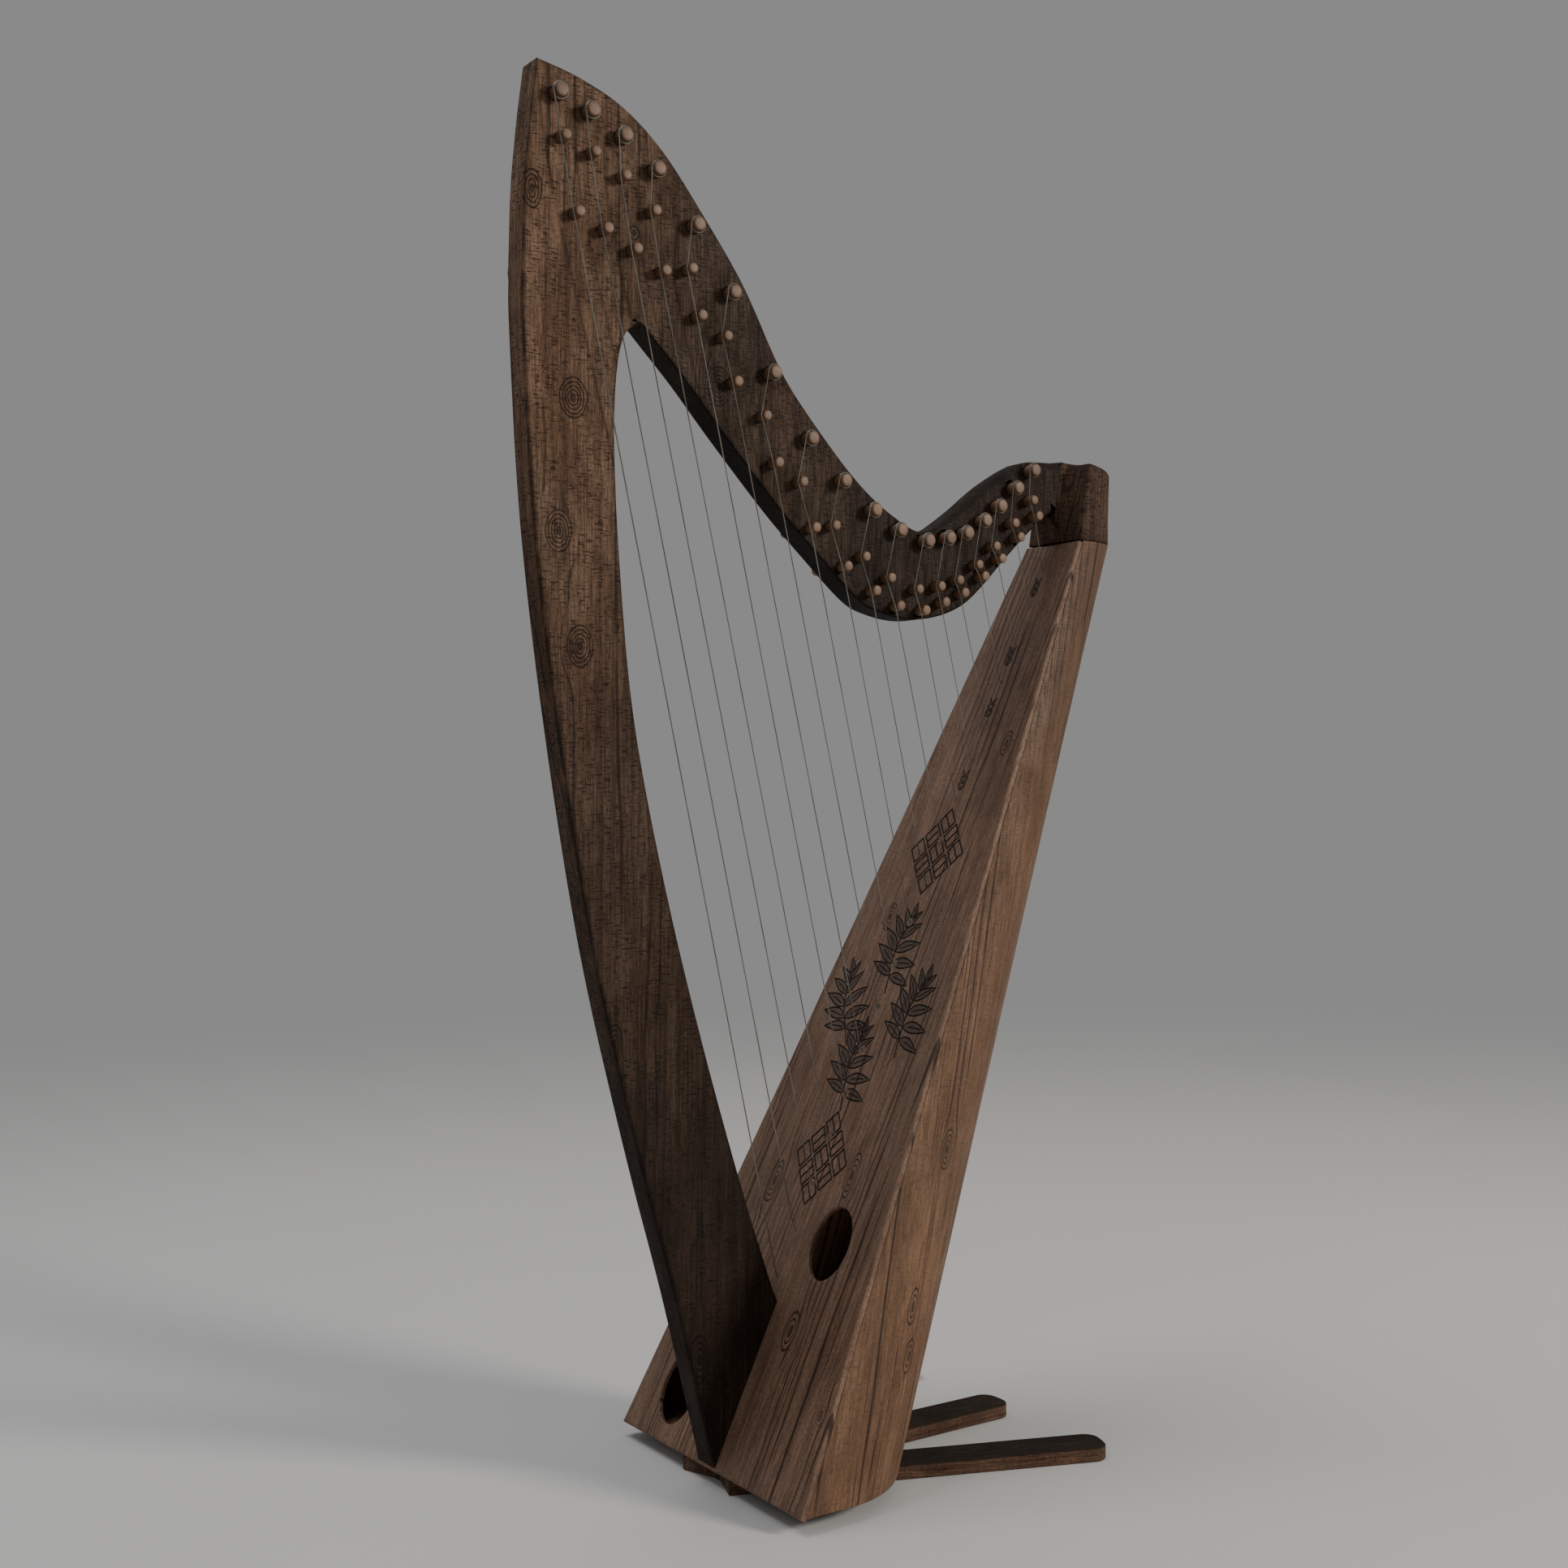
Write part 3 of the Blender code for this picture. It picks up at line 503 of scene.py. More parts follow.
def wood(name, look, knots=(), source="grain"):
    """Sawn and oiled wood: growth lines, knots, pores, cross ticks, blotches and worn edges, with
    painted shade along the dark boards' edges, on undersides and in ramps.
    """
    graph = Graph(name)
    place = coordinates(graph, source)
    across, depth, along = graph.split(place)[0:3]
    slow = graph.noise(place, (1 / 75, 1 / 90, 1 / 300), 2.0)
    quick = graph.noise(place, (1 / 13, 1 / 30, 1 / 85), 1.0)
    bent = graph.add(across, graph.times(graph.add(slow, -0.5), look["wander"]))
    bent = graph.add(bent, graph.times(graph.add(quick, -0.5), look["waver"]))
    bent = graph.add(bent, graph.times(depth, look["tilt"]))
    cover = 0.0
    knot_lines = 0.0
    for spot in knots:
        here, lines, push = knot(graph, place, across, along, spot)
        bent = graph.add(bent, push)
        cover = graph.math("MAXIMUM", cover, here)
        knot_lines = graph.math("MAXIMUM", knot_lines, graph.times(lines, here))
    if knots and look["thick"]:
        cover = graph.times(cover, near_faces(graph, depth, look["thick"]))
    side = graph.add(bent, -look["heart"])
    deep = graph.add(graph.times(along, look["taper"]), look["cut"])
    radius = graph.length(side, deep)
    uneven = graph.times(graph.add(graph.noise_line(radius, 1 / 31, 1.0), -0.5), 2.2)
    turn = graph.math("FRACT", graph.add(graph.times(radius, 1 / look["spacing"]), uneven))
    crisp = graph.times(graph.remap(turn, 0.70, 0.86), graph.remap(turn, 1.0, 0.96))
    soft = graph.times(graph.times(turn, turn), 0.30)
    fade = graph.noise(place, (1 / 26, 1 / 60, 1 / 330), 2.0)
    fade = graph.remap(fade, look["fade_from"], look["fade_to"])
    growth = graph.times(graph.math("MAXIMUM", crisp, soft), fade)
    growth = graph.times(growth, look["growth"])
    growth = graph.blend(cover, growth, graph.times(knot_lines, look["knots"]))

    covers = {}
    for key, (size, detail, roughness, low, high) in PATTERNS.items():
        spread = graph.noise(place, [1 / side for side in size], detail, roughness)
        covers[key] = graph.remap(spread, low, high)
    patches = graph.noise(place, (1 / 17, 1 / 17, 1 / 26), 2.0)
    covers["ticks"] = graph.times(covers["ticks"], graph.remap(patches, 0.30, 0.56))
    worn_and_shaded = graph.times(graph.attribute("wear", "Fac"), graph.remap(patches, 0.25, 0.60))

    colour = graph.mix(covers["blotch"], look["mid"], look["light"])
    for key, other in (("tone", "cool"), ("bands", "dark"), ("streaks", "dark")):
        colour = graph.mix(graph.times(covers[key], look[key]), colour, look[other])
    speckle = graph.times(covers["speckle"], look["speckle"])
    colour = graph.mix(speckle, colour, graph.stretch(colour, DIMMED))
    colour = graph.mix(graph.times(covers["pores"], look["pores"]), colour, look["dark"])
    colour = graph.mix(graph.times(covers["ticks"], look["ticks"]), colour, look["line"])
    colour = graph.mix(growth, colour, look["line"])
    # Edge colour: a lighter wear on the box; on the dark boards a near-black edge, which is
    # painted shade along their edges.
    colour = graph.mix(graph.times(worn_and_shaded, look["wear"]), colour, look["edge"])
    # Painted shade: each ramp darkens the colour towards SHADED along one axis, where the lamps
    # leave the piece darker.
    for low, high, share, axis in look["shades"]:
        ramp = graph.remap({"across": across, "along": along, "depth": depth}[axis], low, high)
        colour = graph.mix(graph.times(ramp, share), colour, SHADED)
    # Painted shade: faces turned downwards are darkened towards black.
    if look["under"]:
        normal = graph.node("ShaderNodeNewGeometry", {}).outputs["Normal"]
        under = graph.remap(graph.split(normal)[2], -0.10, -0.55)
        colour = graph.mix(graph.times(under, look["under"]), colour, (0.0, 0.0, 0.0))
    graph.put(graph.shader.inputs["Base Color"], colour)

    rough = graph.add(look["rough"], graph.times(graph.add(covers["blotch"], -0.5), -0.10))
    rough = graph.add(rough, graph.times(covers["pores"], 0.10))
    graph.put(graph.shader.inputs["Roughness"], rough)
    graph.shader.inputs["Specular IOR Level"].default_value = look["gloss"]
    height = graph.times(growth, -0.55)
    for key, share in (("pores", -0.30), ("ticks", -0.35), ("blotch", 0.35)):
        height = graph.add(height, graph.times(covers[key], share))
    graph.bump(height, look["relief"], 0.0006)
    return graph.material


DARK_LOOK = {
    "light": (0.264, 0.154, 0.094), "mid": (0.164, 0.088, 0.050), "cool": (0.156, 0.100, 0.066),
    # edge: near-black, painted shade along the edges of the dark boards
    "dark": (0.026, 0.013, 0.008), "line": (0.012, 0.006, 0.004), "edge": (0.024, 0.013, 0.008),
    "wander": 26.0, "waver": 3.0, "heart": -600.0, "taper": 0.0, "cut": 30.0, "spacing": 13.0,
    "fade_from": 0.44, "fade_to": 0.62, "growth": 0.70, "pores": 0.50, "ticks": 0.82,
    "streaks": 0.46, "bands": 0.34, "speckle": 0.54, "tone": 0.50, "wear": 0.75, "rough": 0.62,
    "gloss": 0.14, "relief": 0.70, "tilt": 0.8, "thick": 26.0, "shades": (), "knots": 0.88,
    "under": 0.0,
}
BOX_LOOK = {
    "light": (0.270, 0.145, 0.076), "mid": (0.185, 0.094, 0.047), "cool": (0.165, 0.095, 0.056),
    "dark": (0.070, 0.030, 0.014), "line": (0.024, 0.010, 0.005), "edge": (0.210, 0.120, 0.066),
    "wander": 20.0, "waver": 2.8, "heart": -700.0, "taper": 0.035, "cut": 0.0, "spacing": 7.5,
    "fade_from": 0.46, "fade_to": 0.57, "growth": 0.92, "pores": 0.50, "ticks": 0.26,
    "streaks": 0.42, "bands": 0.28, "speckle": 0.42, "tone": 0.50, "wear": 0.15, "rough": 0.56,
    "gloss": 0.30, "relief": 0.60, "tilt": 0.3, "thick": 0.0,
    # Painted shade: the inner faces of soundboard and back darken, as inside the box.
    "shades": ((4.0, 5.8, 0.20, "depth"),), "knots": 0.92, "under": 0.0,
}


def varied(look, **changes):
    return {**look, **changes}


def toned(look, keys, factors):
    """The look with some of its colours darkened."""
    return varied(look, **{k: tuple(f * c for f, c in zip(factors, look[k])) for k in keys})


def dowel_wood(name, light, dark):
    """Pale dowels with their axis along Y: lengthwise fibres, ringed ends, handled rims and
    painted contact shade next to the board.
    """
    graph = Graph(name)
    place = graph.node("ShaderNodeTexCoord", {}).outputs["Object"]
    chance = graph.node("ShaderNodeObjectInfo", {}).outputs["Random"]
    shift = graph.node("ShaderNodeCombineXYZ", {"X": graph.times(chance, 7.0)}).outputs[0]
    moved = graph.node("ShaderNodeVectorMath", {0: place, 1: shift}, operation="ADD").outputs[0]
    x, y, z = graph.split(place)[0:3]
    radius = graph.length(x, z)
    wobble = graph.noise(moved, (400.0, 400.0, 400.0), 2.0)
    ring = graph.math("FRACT", graph.add(graph.times(radius, 1500.0), graph.times(wobble, 1.6)))
    ring = graph.times(graph.remap(ring, 0.45, 0.80), graph.remap(ring, 1.0, 0.92))
    normal = graph.node("ShaderNodeNewGeometry", {}).outputs["Normal"]
    facing = graph.math("ABSOLUTE", graph.split(normal)[1])
    on_end = graph.remap(facing, 0.55, 0.85)
    fibres = graph.noise(moved, (2600.0, 110.0, 2600.0), 2.0, 0.6)
    fibres = graph.remap(fibres, 0.46, 0.70)
    pits = graph.remap(graph.noise(moved, (2400.0, 900.0, 2400.0), 2.0), 0.52, 0.70)
    lines = graph.blend(on_end, graph.times(fibres, 0.55), graph.times(ring, 0.55))
    lines = graph.add(lines, graph.times(pits, 0.22))
    # Painted shade: the dowel darkens where it comes close to the board's face, in place of a
    # contact shadow.
    painted_contact_shade = graph.remap(graph.math("ABSOLUTE", y), 0.0205, 0.0135)
    shade = graph.remap(graph.noise(moved, (90.0, 60.0, 90.0), 1.0), 0.3, 0.7)
    colour = graph.mix(graph.times(shade, 0.45), light, dark)
    colour = graph.mix(graph.times(chance, 0.22), colour, dark)
    colour = graph.mix(graph.times(lines, 0.62), colour, dark)
    colour = graph.mix(graph.times(painted_contact_shade, 0.45), colour, tuple(0.4 * c for c in dark))
    rim = graph.attribute("wear", "Fac")
    colour = graph.mix(graph.times(rim, 0.35), colour, dark)
    graph.put(graph.shader.inputs["Base Color"], colour)
    graph.put(graph.shader.inputs["Roughness"], graph.add(graph.times(lines, 0.15), 0.46))
    graph.bump(graph.times(lines, -1.0), 0.35, 0.0003)
    return graph.material


def string_material(name):
    """Thin gut-like strings with a faint twist."""
    graph = Graph(name)
    place = graph.node("ShaderNodeTexCoord", {}).outputs["Object"]
    cloud = graph.remap(graph.noise(place, (40.0, 40.0, 25.0), 2.0), 0.35, 0.65)
    twist = graph.noise(place, (900.0, 900.0, 2600.0), 1.0)
    colour = graph.mix(cloud, (0.120, 0.108, 0.090), (0.190, 0.175, 0.148))
    graph.put(graph.shader.inputs["Base Color"], colour)
    graph.put(graph.shader.inputs["Roughness"], graph.add(graph.times(cloud, 0.12), 0.26))
    graph.bump(twist, 0.20, 0.0001)
    return graph.material


def metal(name, colour, dull):
    """Plated steel with tarnish."""
    graph = Graph(name)
    place = graph.node("ShaderNodeTexCoord", {}).outputs["Object"]
    tarnish = graph.remap(graph.noise(place, (260.0, 260.0, 260.0), 3.0), 0.42, 0.66)
    graph.put(graph.shader.inputs["Base Color"], graph.mix(tarnish, colour, dull))
    graph.shader.inputs["Metallic"].default_value = 1.0
    graph.put(graph.shader.inputs["Roughness"], graph.add(graph.times(tarnish, 0.3), 0.28))
    graph.bump(tarnish, 0.15, 0.0002)
    return graph.material


# ------------------------------------------------------------------ lines of the sound box

SOUNDBOARD_THICKNESS = 0.005
BOX_WALL = 0.006
BOX_LEAN = 0.388 / 0.798  # run towards the back per rise
HAND_HOLES = ((0.190, 0.110, 0.072), (0.400, 0.096, 0.060), (0.600, 0.080, 0.046))  # z, tall, wide
BACK_GAP = 0.0003  # between the back's edge and the soundboard, as in the CAD

board_low, board_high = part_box("soundboard")
TOE = board_low.x
BOTTOM_Z = board_low.z
TOP_Z = board_high.z
LEAN_LENGTH = math.hypot(1.0, BOX_LEAN)
INWARD = Vector((1.0, 0.0, -BOX_LEAN)) / LEAN_LENGTH
UPWARD = Vector((BOX_LEAN, 0.0, 1.0)) / LEAN_LENGTH
CORNER = Vector((TOE, 0.0, BOTTOM_Z))
BOARD_LENGTH = (TOP_Z - BOTTOM_Z) * LEAN_LENGTH


def front_x(z):
    return TOE + BOX_LEAN * (z - BOTTOM_Z)


def box_ends():
    """(half width, straight run, round depth) of the box's bottom and top sections."""
    ends = []
    for z in (BOTTOM_Z, TOP_Z):
        front = front_x(z)
        shape = [v.co.copy() for v in NODES["box_back"].data.vertices if abs(v.co.z - z) < 1e-5]
        half = max(p.y for p in shape)
        straight = max(p.x for p in shape if p.y > half - 1e-6) - front
        ends.append((half, straight, max(p.x for p in shape) - front - straight))
    return ends


BOX_ENDS = box_ends()


def section_at(z):
    share = (z - BOTTOM_Z) / (TOP_Z - BOTTOM_Z)
    low, high = BOX_ENDS
    return [a + (b - a) * share for a, b in zip(low, high)]


def back_place(u, z, depth):
    """A point of the box's back: u runs round the D from the middle of the back."""
    half, straight, deep = section_at(z)
    spread = (half + deep) / 2.0
    side = 1.0 if u >= 0.0 else -1.0
    quarter = spread * math.pi / 2.0
    centre = front_x(z) + straight
    if abs(u) <= quarter:
        angle = u / spread
        x = centre + (deep - depth) * math.cos(angle)
        return Vector((x, (half - depth) * math.sin(angle), z))
    return Vector((centre - (abs(u) - quarter), side * (half - depth), z))


def back_reach(z):
    """How far u runs at a height, from the middle of the back to the soundboard."""
    half, straight, deep = section_at(z)
    start = SOUNDBOARD_THICKNESS * LEAN_LENGTH + BACK_GAP
    return (half + deep) / 2.0 * math.pi / 2.0 + straight - start


# ------------------------------------------------------------------ carvings


FAR_OFF = 9.0  # more half widths than any spot counts at
AT_RIM = 0.98  # a vertex this far out belongs to the groove's rim and stays level

GROOVE_DEPTH = 0.0009
LEAF_LINE = 0.00075  # half widths of the cuts
STALK_LINE = 0.0009
LATTICE_LINE = 0.0010
SPRIG_LINE = 0.00032


class Grooves:
    """V-grooves cut along lines in a face, and stained fields inside some of them."""

    def __init__(self, depth):
        self.depth = depth
        self.lines = []
        self.fields = []

    def cut(self, line, half_width, closed=False):
        self.lines.append((line, half_width, closed))

    def guide_lines(self):
        """The middle and both rims of every groove, which the mesh has to follow."""
        for line, half_width, closed in self.lines:
            sides = []
            for side in (-1.0, 0.0, 1.0):
                moved = []
                for i, p in enumerate(line):
                    if closed:
                        before, after = line[i - 1], line[(i + 1) % len(line)]
                    else:
                        before, after = line[max(i - 1, 0)], line[min(i + 1, len(line) - 1)]
                    along = (after - before).normalized()
                    moved.append(p + side * half_width * Vector((-along.y, along.x)))
                sides.append(moved)
            yield sides[1], closed
            if closed:
                yield sides[0], True
                yield sides[2], True
            else:
                yield sides[0] + sides[2][::-1], True

    def nearest(self, spots):
        """Distance to the nearest line's middle, as a share of its half width."""
        spots = np.array([(p.x, p.y) for p in spots])
        best = np.full(len(spots), FAR_OFF)
        for line, half_width, closed in self.lines:
            last = len(line) if closed else len(line) - 1
            for i in range(last):
                a = np.array(line[i])
                b = np.array(line[(i + 1) % len(line)])
                run = b - a
                share = np.clip(((spots - a) @ run) / (run @ run), 0.0, 1.0)
                off = np.linalg.norm(spots - a - share[:, None] * run, axis=1)
                best = np.minimum(best, off / half_width)
        return best

    def depths(self, spots):
        near = self.nearest(spots)
        return [self.depth * (1.0 - float(n)) if n < AT_RIM else 0.0 for n in near]

    def slots(self, spots):
        near = self.nearest(spots)
        found = []
        for spot, n in zip(spots, near):
            if n < 1.0:
                found.append(1)
            else:
                found.append(2 if any(inside(spot, loop) for loop in self.fields) else 0)
        return found


def turned_point(spot, u, v, angle):
    c, s = math.cos(angle), math.sin(angle)
    return Vector((spot[0] + c * u - s * v, spot[1] + s * u + c * v))


def leaf(length, width, sway, steps=7):
    """A pointed leaf along +v from the origin, bent sideways by sway at its tip."""
    right = []
    left = []
    for i in range(1, steps):
        t = i / steps
        bulge = width * math.sin(math.pi * t**0.85) * (1.0 - 0.25 * t)
        middle = sway * t * t
        right.append((middle + bulge, length * t))
        left.append((middle - bulge, length * t))
    return [(0.0, 0.0), *right, (sway, length), *reversed(left)]


def carve_leaf(grooves, spot, turn, offset, shape, line):
    """One leaf outline with its middle rib, placed on a spray."""
    def placed(point):
        c, s = math.cos(offset[2]), math.sin(offset[2])
        u = offset[0] + c * point[0] - s * point[1]
        v = offset[1] + s * point[0] + c * point[1]
        return turned_point(spot, u, v, turn)

    outline = [placed(p) for p in leaf(*shape)]
    grooves.fields.append(outline)
    grooves.cut(outline, line, closed=True)
    length, _, sway = shape
    rib = [placed((sway * t * t, length * t)) for t in (0.22, 0.45, 0.68)]
    grooves.cut(rib, 0.7 * line)


PALMETTE = (  # share of the rib, turn in degrees, length and width as shares of the size
    (0.00, 74.0, 0.46, 0.082), (0.20, 62.0, 0.50, 0.088), (0.42, 48.0, 0.48, 0.088),
    (0.66, 33.0, 0.42, 0.078), (0.86, 16.0, 0.34, 0.062),
)


def carve_spray(grooves, spot, turn, size):
    """Pairs of leaves along a curved rib, with one at its tip."""
    def rib(t):
        return (0.16 * size * math.sin(2.4 * t) - 0.06 * size, (0.78 * t - 0.40) * size)

    for share, spread, length, width in PALMETTE:
        for side in (-1.0, 1.0):
            u, v = rib(share)
            start = (u, v, side * math.radians(spread) - 0.25 * (share - 0.4))
            shape = (length * size, width * size, side * -0.10 * size)
            carve_leaf(grooves, spot, turn, start, shape, LEAF_LINE)
    u, v = rib(1.0)
    tip = (0.30 * size, 0.055 * size, 0.0)
    carve_leaf(grooves, spot, turn, (u, v, -0.25), tip, LEAF_LINE)
    stalk = [turned_point(spot, *rib(t), turn) for t in (-0.30, -0.15, 0.0, 0.25, 0.5, 0.75, 1.0)]
    grooves.cut(stalk, STALK_LINE)


def carve_lattice(grooves, spot, half_u, half_v):
    """A diamond of nine smaller diamonds, hatched in turn along one side and the other."""
    side_a = Vector((half_u, half_v)) / 3.0
    side_b = Vector((-half_u, half_v)) / 3.0
    low = Vector(spot) - Vector((0.0, half_v))
    for i in range(3):
        for j in range(3):
            start = low + i * side_a + j * side_b
            along, across = (side_a, side_b) if (i + j) % 2 == 0 else (side_b, side_a)
            for share in (0.10, 0.50, 0.90):
                base = start + share * across
                rung = [base + part * along for part in (0.08, 0.5, 0.92)]
                grooves.cut(rung, LATTICE_LINE)
            for end in (0.08, 0.92):
                edge = start + end * along
                grooves.cut([edge + 0.10 * across, edge + 0.90 * across], LATTICE_LINE)


def carve_sprig(grooves, spot, length):
    """A small upright sprig of three pairs of leaves."""
    base = (spot[0], spot[1] - length / 2.0)
    for k in range(3):
        for side in (-1.0, 1.0):
            place = (side * 0.0004, k * length / 3.4, -side * math.radians(28.0))
            carve_leaf(grooves, base, 0.0, place, (0.42 * length, 0.0017, 0.0), SPRIG_LINE)


# Places on the soundboard: (y, z), with a spray's turn in degrees; sprigs stand at y = 0.
LATTICES = ((0.0, 0.522), (0.0, 0.258))
LATTICE_HALF = (0.039, 0.045)
SPRAYS = ((0.000, 0.436, 12.0), (-0.048, 0.386, 17.0), (0.045, 0.386, -12.0), (0.005, 0.336, 6.0))
SPRAY_SIZE = 0.066
SPRIGS = (0.587, 0.654, 0.703, 0.769)
SPRIG_LENGTH = 0.022


def on_sheet(y, z):
    return (y, (z - BOTTOM_Z) * LEAN_LENGTH)


def carvings():
    grooves = Grooves(GROOVE_DEPTH)
    for y, z in LATTICES:
        carve_lattice(grooves, on_sheet(y, z), *LATTICE_HALF)
    for y, z, turn in SPRAYS:
        carve_spray(grooves, on_sheet(y, z), math.radians(turn), SPRAY_SIZE)
    for z in SPRIGS:
        carve_sprig(grooves, on_sheet(0.0, z), SPRIG_LENGTH)
    return grooves


# ------------------------------------------------------------------ pieces of the sound box


OUTER_RADIUS = 0.0024  # handled outer edges of soundboard and pillar
SHELL_RADIUS = 0.0010
SOUND_HOLE_RADIUS = 0.0014
STRING_HOLE_RADIUS = 0.0004
HAND_HOLE_RADIUS = 0.0020
BIG_HOLE = 0.01  # sound holes are higher than twice this, string holes are lower
SHEET_SIDE_STEPS = 24
BACK_ROWS = 32
BACK_END_STEPS = 40
BACK_GRID = 0.008
BACK_CLEAR = 0.007  # the grid keeps this far from the worked edges


def make_soundboard(materials):
    half_low = BOX_ENDS[0][0]
    half_high = BOX_ENDS[1][0]

    def place(u, v, depth):
        return CORNER + Vector((0.0, u, 0.0)) + v * UPWARD + depth * INWARD

    plate = Plate("soundboard_front", SOUNDBOARD_THICKNESS, place)
    corners = [Vector((-half_low, 0.0)), Vector((half_low, 0.0))]
    corners += [Vector((half_high, BOARD_LENGTH)), Vector((-half_high, BOARD_LENGTH))]
    outline = []
    for corner, after in zip(corners, corners[1:] + corners[:1]):
        for step in range(SHEET_SIDE_STEPS):
            outline.append(corner.lerp(after, step / SHEET_SIDE_STEPS))
    sharp = [JOINT_RADIUS] * len(outline)
    plate.border(turning(outline, 1.0), [OUTER_RADIUS] * len(outline), sharp)
    for loop in flat_loops("soundboard", -INWARD)[1:]:
        flat = [Vector((p.y, (p - CORNER).dot(UPWARD))) for p in loop]
        middle = sum(flat, Vector((0.0, 0.0))) / len(flat)
        half_u = max(abs(p.x - middle.x) for p in flat)
        half_v = max(abs(p.y - middle.y) for p in flat)
        sides, radius = (72, SOUND_HOLE_RADIUS) if half_v > BIG_HOLE else (14, STRING_HOLE_RADIUS)
        ring = ellipse(middle.x, middle.y, half_u, half_v, sides)
        plate.border(turning(ring, -1.0), [radius] * sides)
    plate.fill(far=False, grooves=carvings())
    plate.fill(far=True)
    return plate.finish(materials, ("soundboard",))


def make_back(material):
    plate = Plate("box_back_shell", BOX_WALL, back_place)
    right = []
    for i in range(BACK_ROWS + 1):
        z = BOTTOM_Z + (TOP_Z - BOTTOM_Z) * i / BACK_ROWS
        right.append(Vector((back_reach(z), z)))
    left = [Vector((-p.x, p.y)) for p in reversed(right)]
    outline = []
    for run, ahead in ((right, left), (left, right)):
        outline.extend(run[:-1])
        for step in range(BACK_END_STEPS):
            outline.append(run[-1].lerp(ahead[0], step / BACK_END_STEPS))
    fine = turning(outline, 1.0)
    glued = [abs(p.x) > back_reach(p.y) - 0.0005 for p in fine]
    plate.border(fine, [JOINT_RADIUS if seam else SHELL_RADIUS for seam in glued])
    for z, tall, wide in HAND_HOLES:
        ring = ellipse(0.0, z, wide / 2.0, tall / 2.0, 64)
        plate.border(turning(ring, -1.0), [HAND_HOLE_RADIUS] * len(ring))
    grid = []
    outer = plate.borders[0]
    row_gap = (TOP_Z - BOTTOM_Z) / BACK_ROWS
    steps = int(2.0 * back_reach(BOTTOM_Z) / BACK_GRID)
    for i in range(1, BACK_ROWS):
        z = BOTTOM_Z + row_gap * i
        reach = back_reach(z) - BACK_CLEAR
        for k in range(-steps, steps + 1):
            u = BACK_GRID * k
            spot = Vector((u, z))
            blocked = any(
                (u / (w / 2.0 + BACK_CLEAR)) ** 2 + ((z - c) / (t / 2.0 + BACK_CLEAR)) ** 2 < 1.0
                for c, t, w in HAND_HOLES
            )
            if abs(u) < reach and not blocked and inside(spot, outer):
                grid.append(spot)
    plate.fill(far=False, grid=grid)
    plate.fill(far=True, grid=grid)
    return plate.finish([material], ("box_back",))


# ------------------------------------------------------------------ neck, pillar and block

HALF_BOARD = 0.013
BOARD_RADIUS = 0.0014
TROUGH_X = 0.050  # the neck's top edge is rounded off more and more from here to its end
TROUGH_RUN = 0.10
SCOOP = 0.0085
GLUE_GAP = 0.0003  # the CAD leaves this much between pillar and neck
NEAR_SIDE = Vector((0.0, -1.0, 0.0))
JOINT_FRONT = (-0.3115, 0.985)  # about where the joint of pillar and neck ends, as (x, z)
JOINT_REAR = (-0.206, 0.956)
HEEL_Z = 0.145  # where the pillar's back edge comes down on the soundboard


def board_place(u, v, depth):
    """A point of a board in the plane of the strings: u along x, v along z."""
    return Vector((u, depth - HALF_BOARD, v))


def board_outline(name):
    return turning([Vector((p.x, p.z)) for p in flat_loops(name, NEAR_SIDE)[0]], 1.0)


def corner_at(outline, x, z):
    """The outline's own corner next to a place."""
    return min(outline, key=lambda p: (p - Vector((x, z))).length)


def near_line(point, a, b, reach=0.0008):
    run = b - a
    share = clamped((point - a).dot(run) / run.length_squared)
    return (a + share * run - point).length < reach


def joint_radii(outline, joints, radius):
    """A hair of a radius along glued joints, and the given one elsewhere."""
    radii = []
    for p in outline:
        glued = any(near_line(p, a, b) for a, b in joints)
        radii.append(JOINT_RADIUS if glued else radius(p))
    return radii


def make_pillar(material):
    outline = board_outline("pillar")
    top = sorted(outline, key=lambda p: p.y)[-1]
    rear_top = corner_at(outline, *JOINT_REAR)
    top.y += GLUE_GAP
    rear_top.y += GLUE_GAP
    low = min(outline, key=lambda p: p.y)
    heel = corner_at(outline, front_x(HEEL_Z), HEEL_Z)
    fine = rounded_outline(outline, 4)
    joints = ((top, rear_top), (low, heel))
    plate = Plate("pillar_board", 2.0 * HALF_BOARD, board_place)
    plate.border(fine, joint_radii(fine, joints, lambda p: OUTER_RADIUS))
    plate.fill(far=False)
    plate.fill(far=True)
    return plate.finish([material], ("pillar",))


def neck_radius(point):
    """Edges are eased, and the top edge is scooped away towards the shoulder block."""
    share = clamped((point.x - TROUGH_X) / TROUGH_RUN)
    on_top = point.y > 0.795 + 0.25 * max(0.0, point.x - 0.06)
    return BOARD_RADIUS + (SCOOP - BOARD_RADIUS) * ease(share) * on_top


BORE_PLAY = 0.00015  # round a peg or pin
BORE_RADIUS = 0.0004


def make_neck(material):
    outline = board_outline("neck")
    fine = rounded_outline(outline, 4)
    at_block = sorted(outline, key=lambda p: p.x)[-2:]
    joints = ((corner_at(outline, *JOINT_FRONT), corner_at(outline, *JOINT_REAR)), at_block)
    plate = Plate("neck_board", 2.0 * HALF_BOARD, board_place)
    plate.border(fine, joint_radii(fine, joints, neck_radius))
    bores = []
    for loop in flat_loops("neck", NEAR_SIDE)[1:]:
        middle = sum(loop, Vector()) / len(loop)
        radius = sum((p - middle).length for p in loop) / len(loop)
        bores.append((middle, radius))
        wide = radius + BORE_PLAY
        ring = ellipse(middle.x, middle.z, wide, wide, 24)
        plate.border(turning(ring, -1.0), [BORE_RADIUS] * len(ring))
    plate.fill(far=False)
    plate.fill(far=True)
    plate.finish([material], ("neck",))
    return bores


# ------------------------------------------------------------------ turned pieces


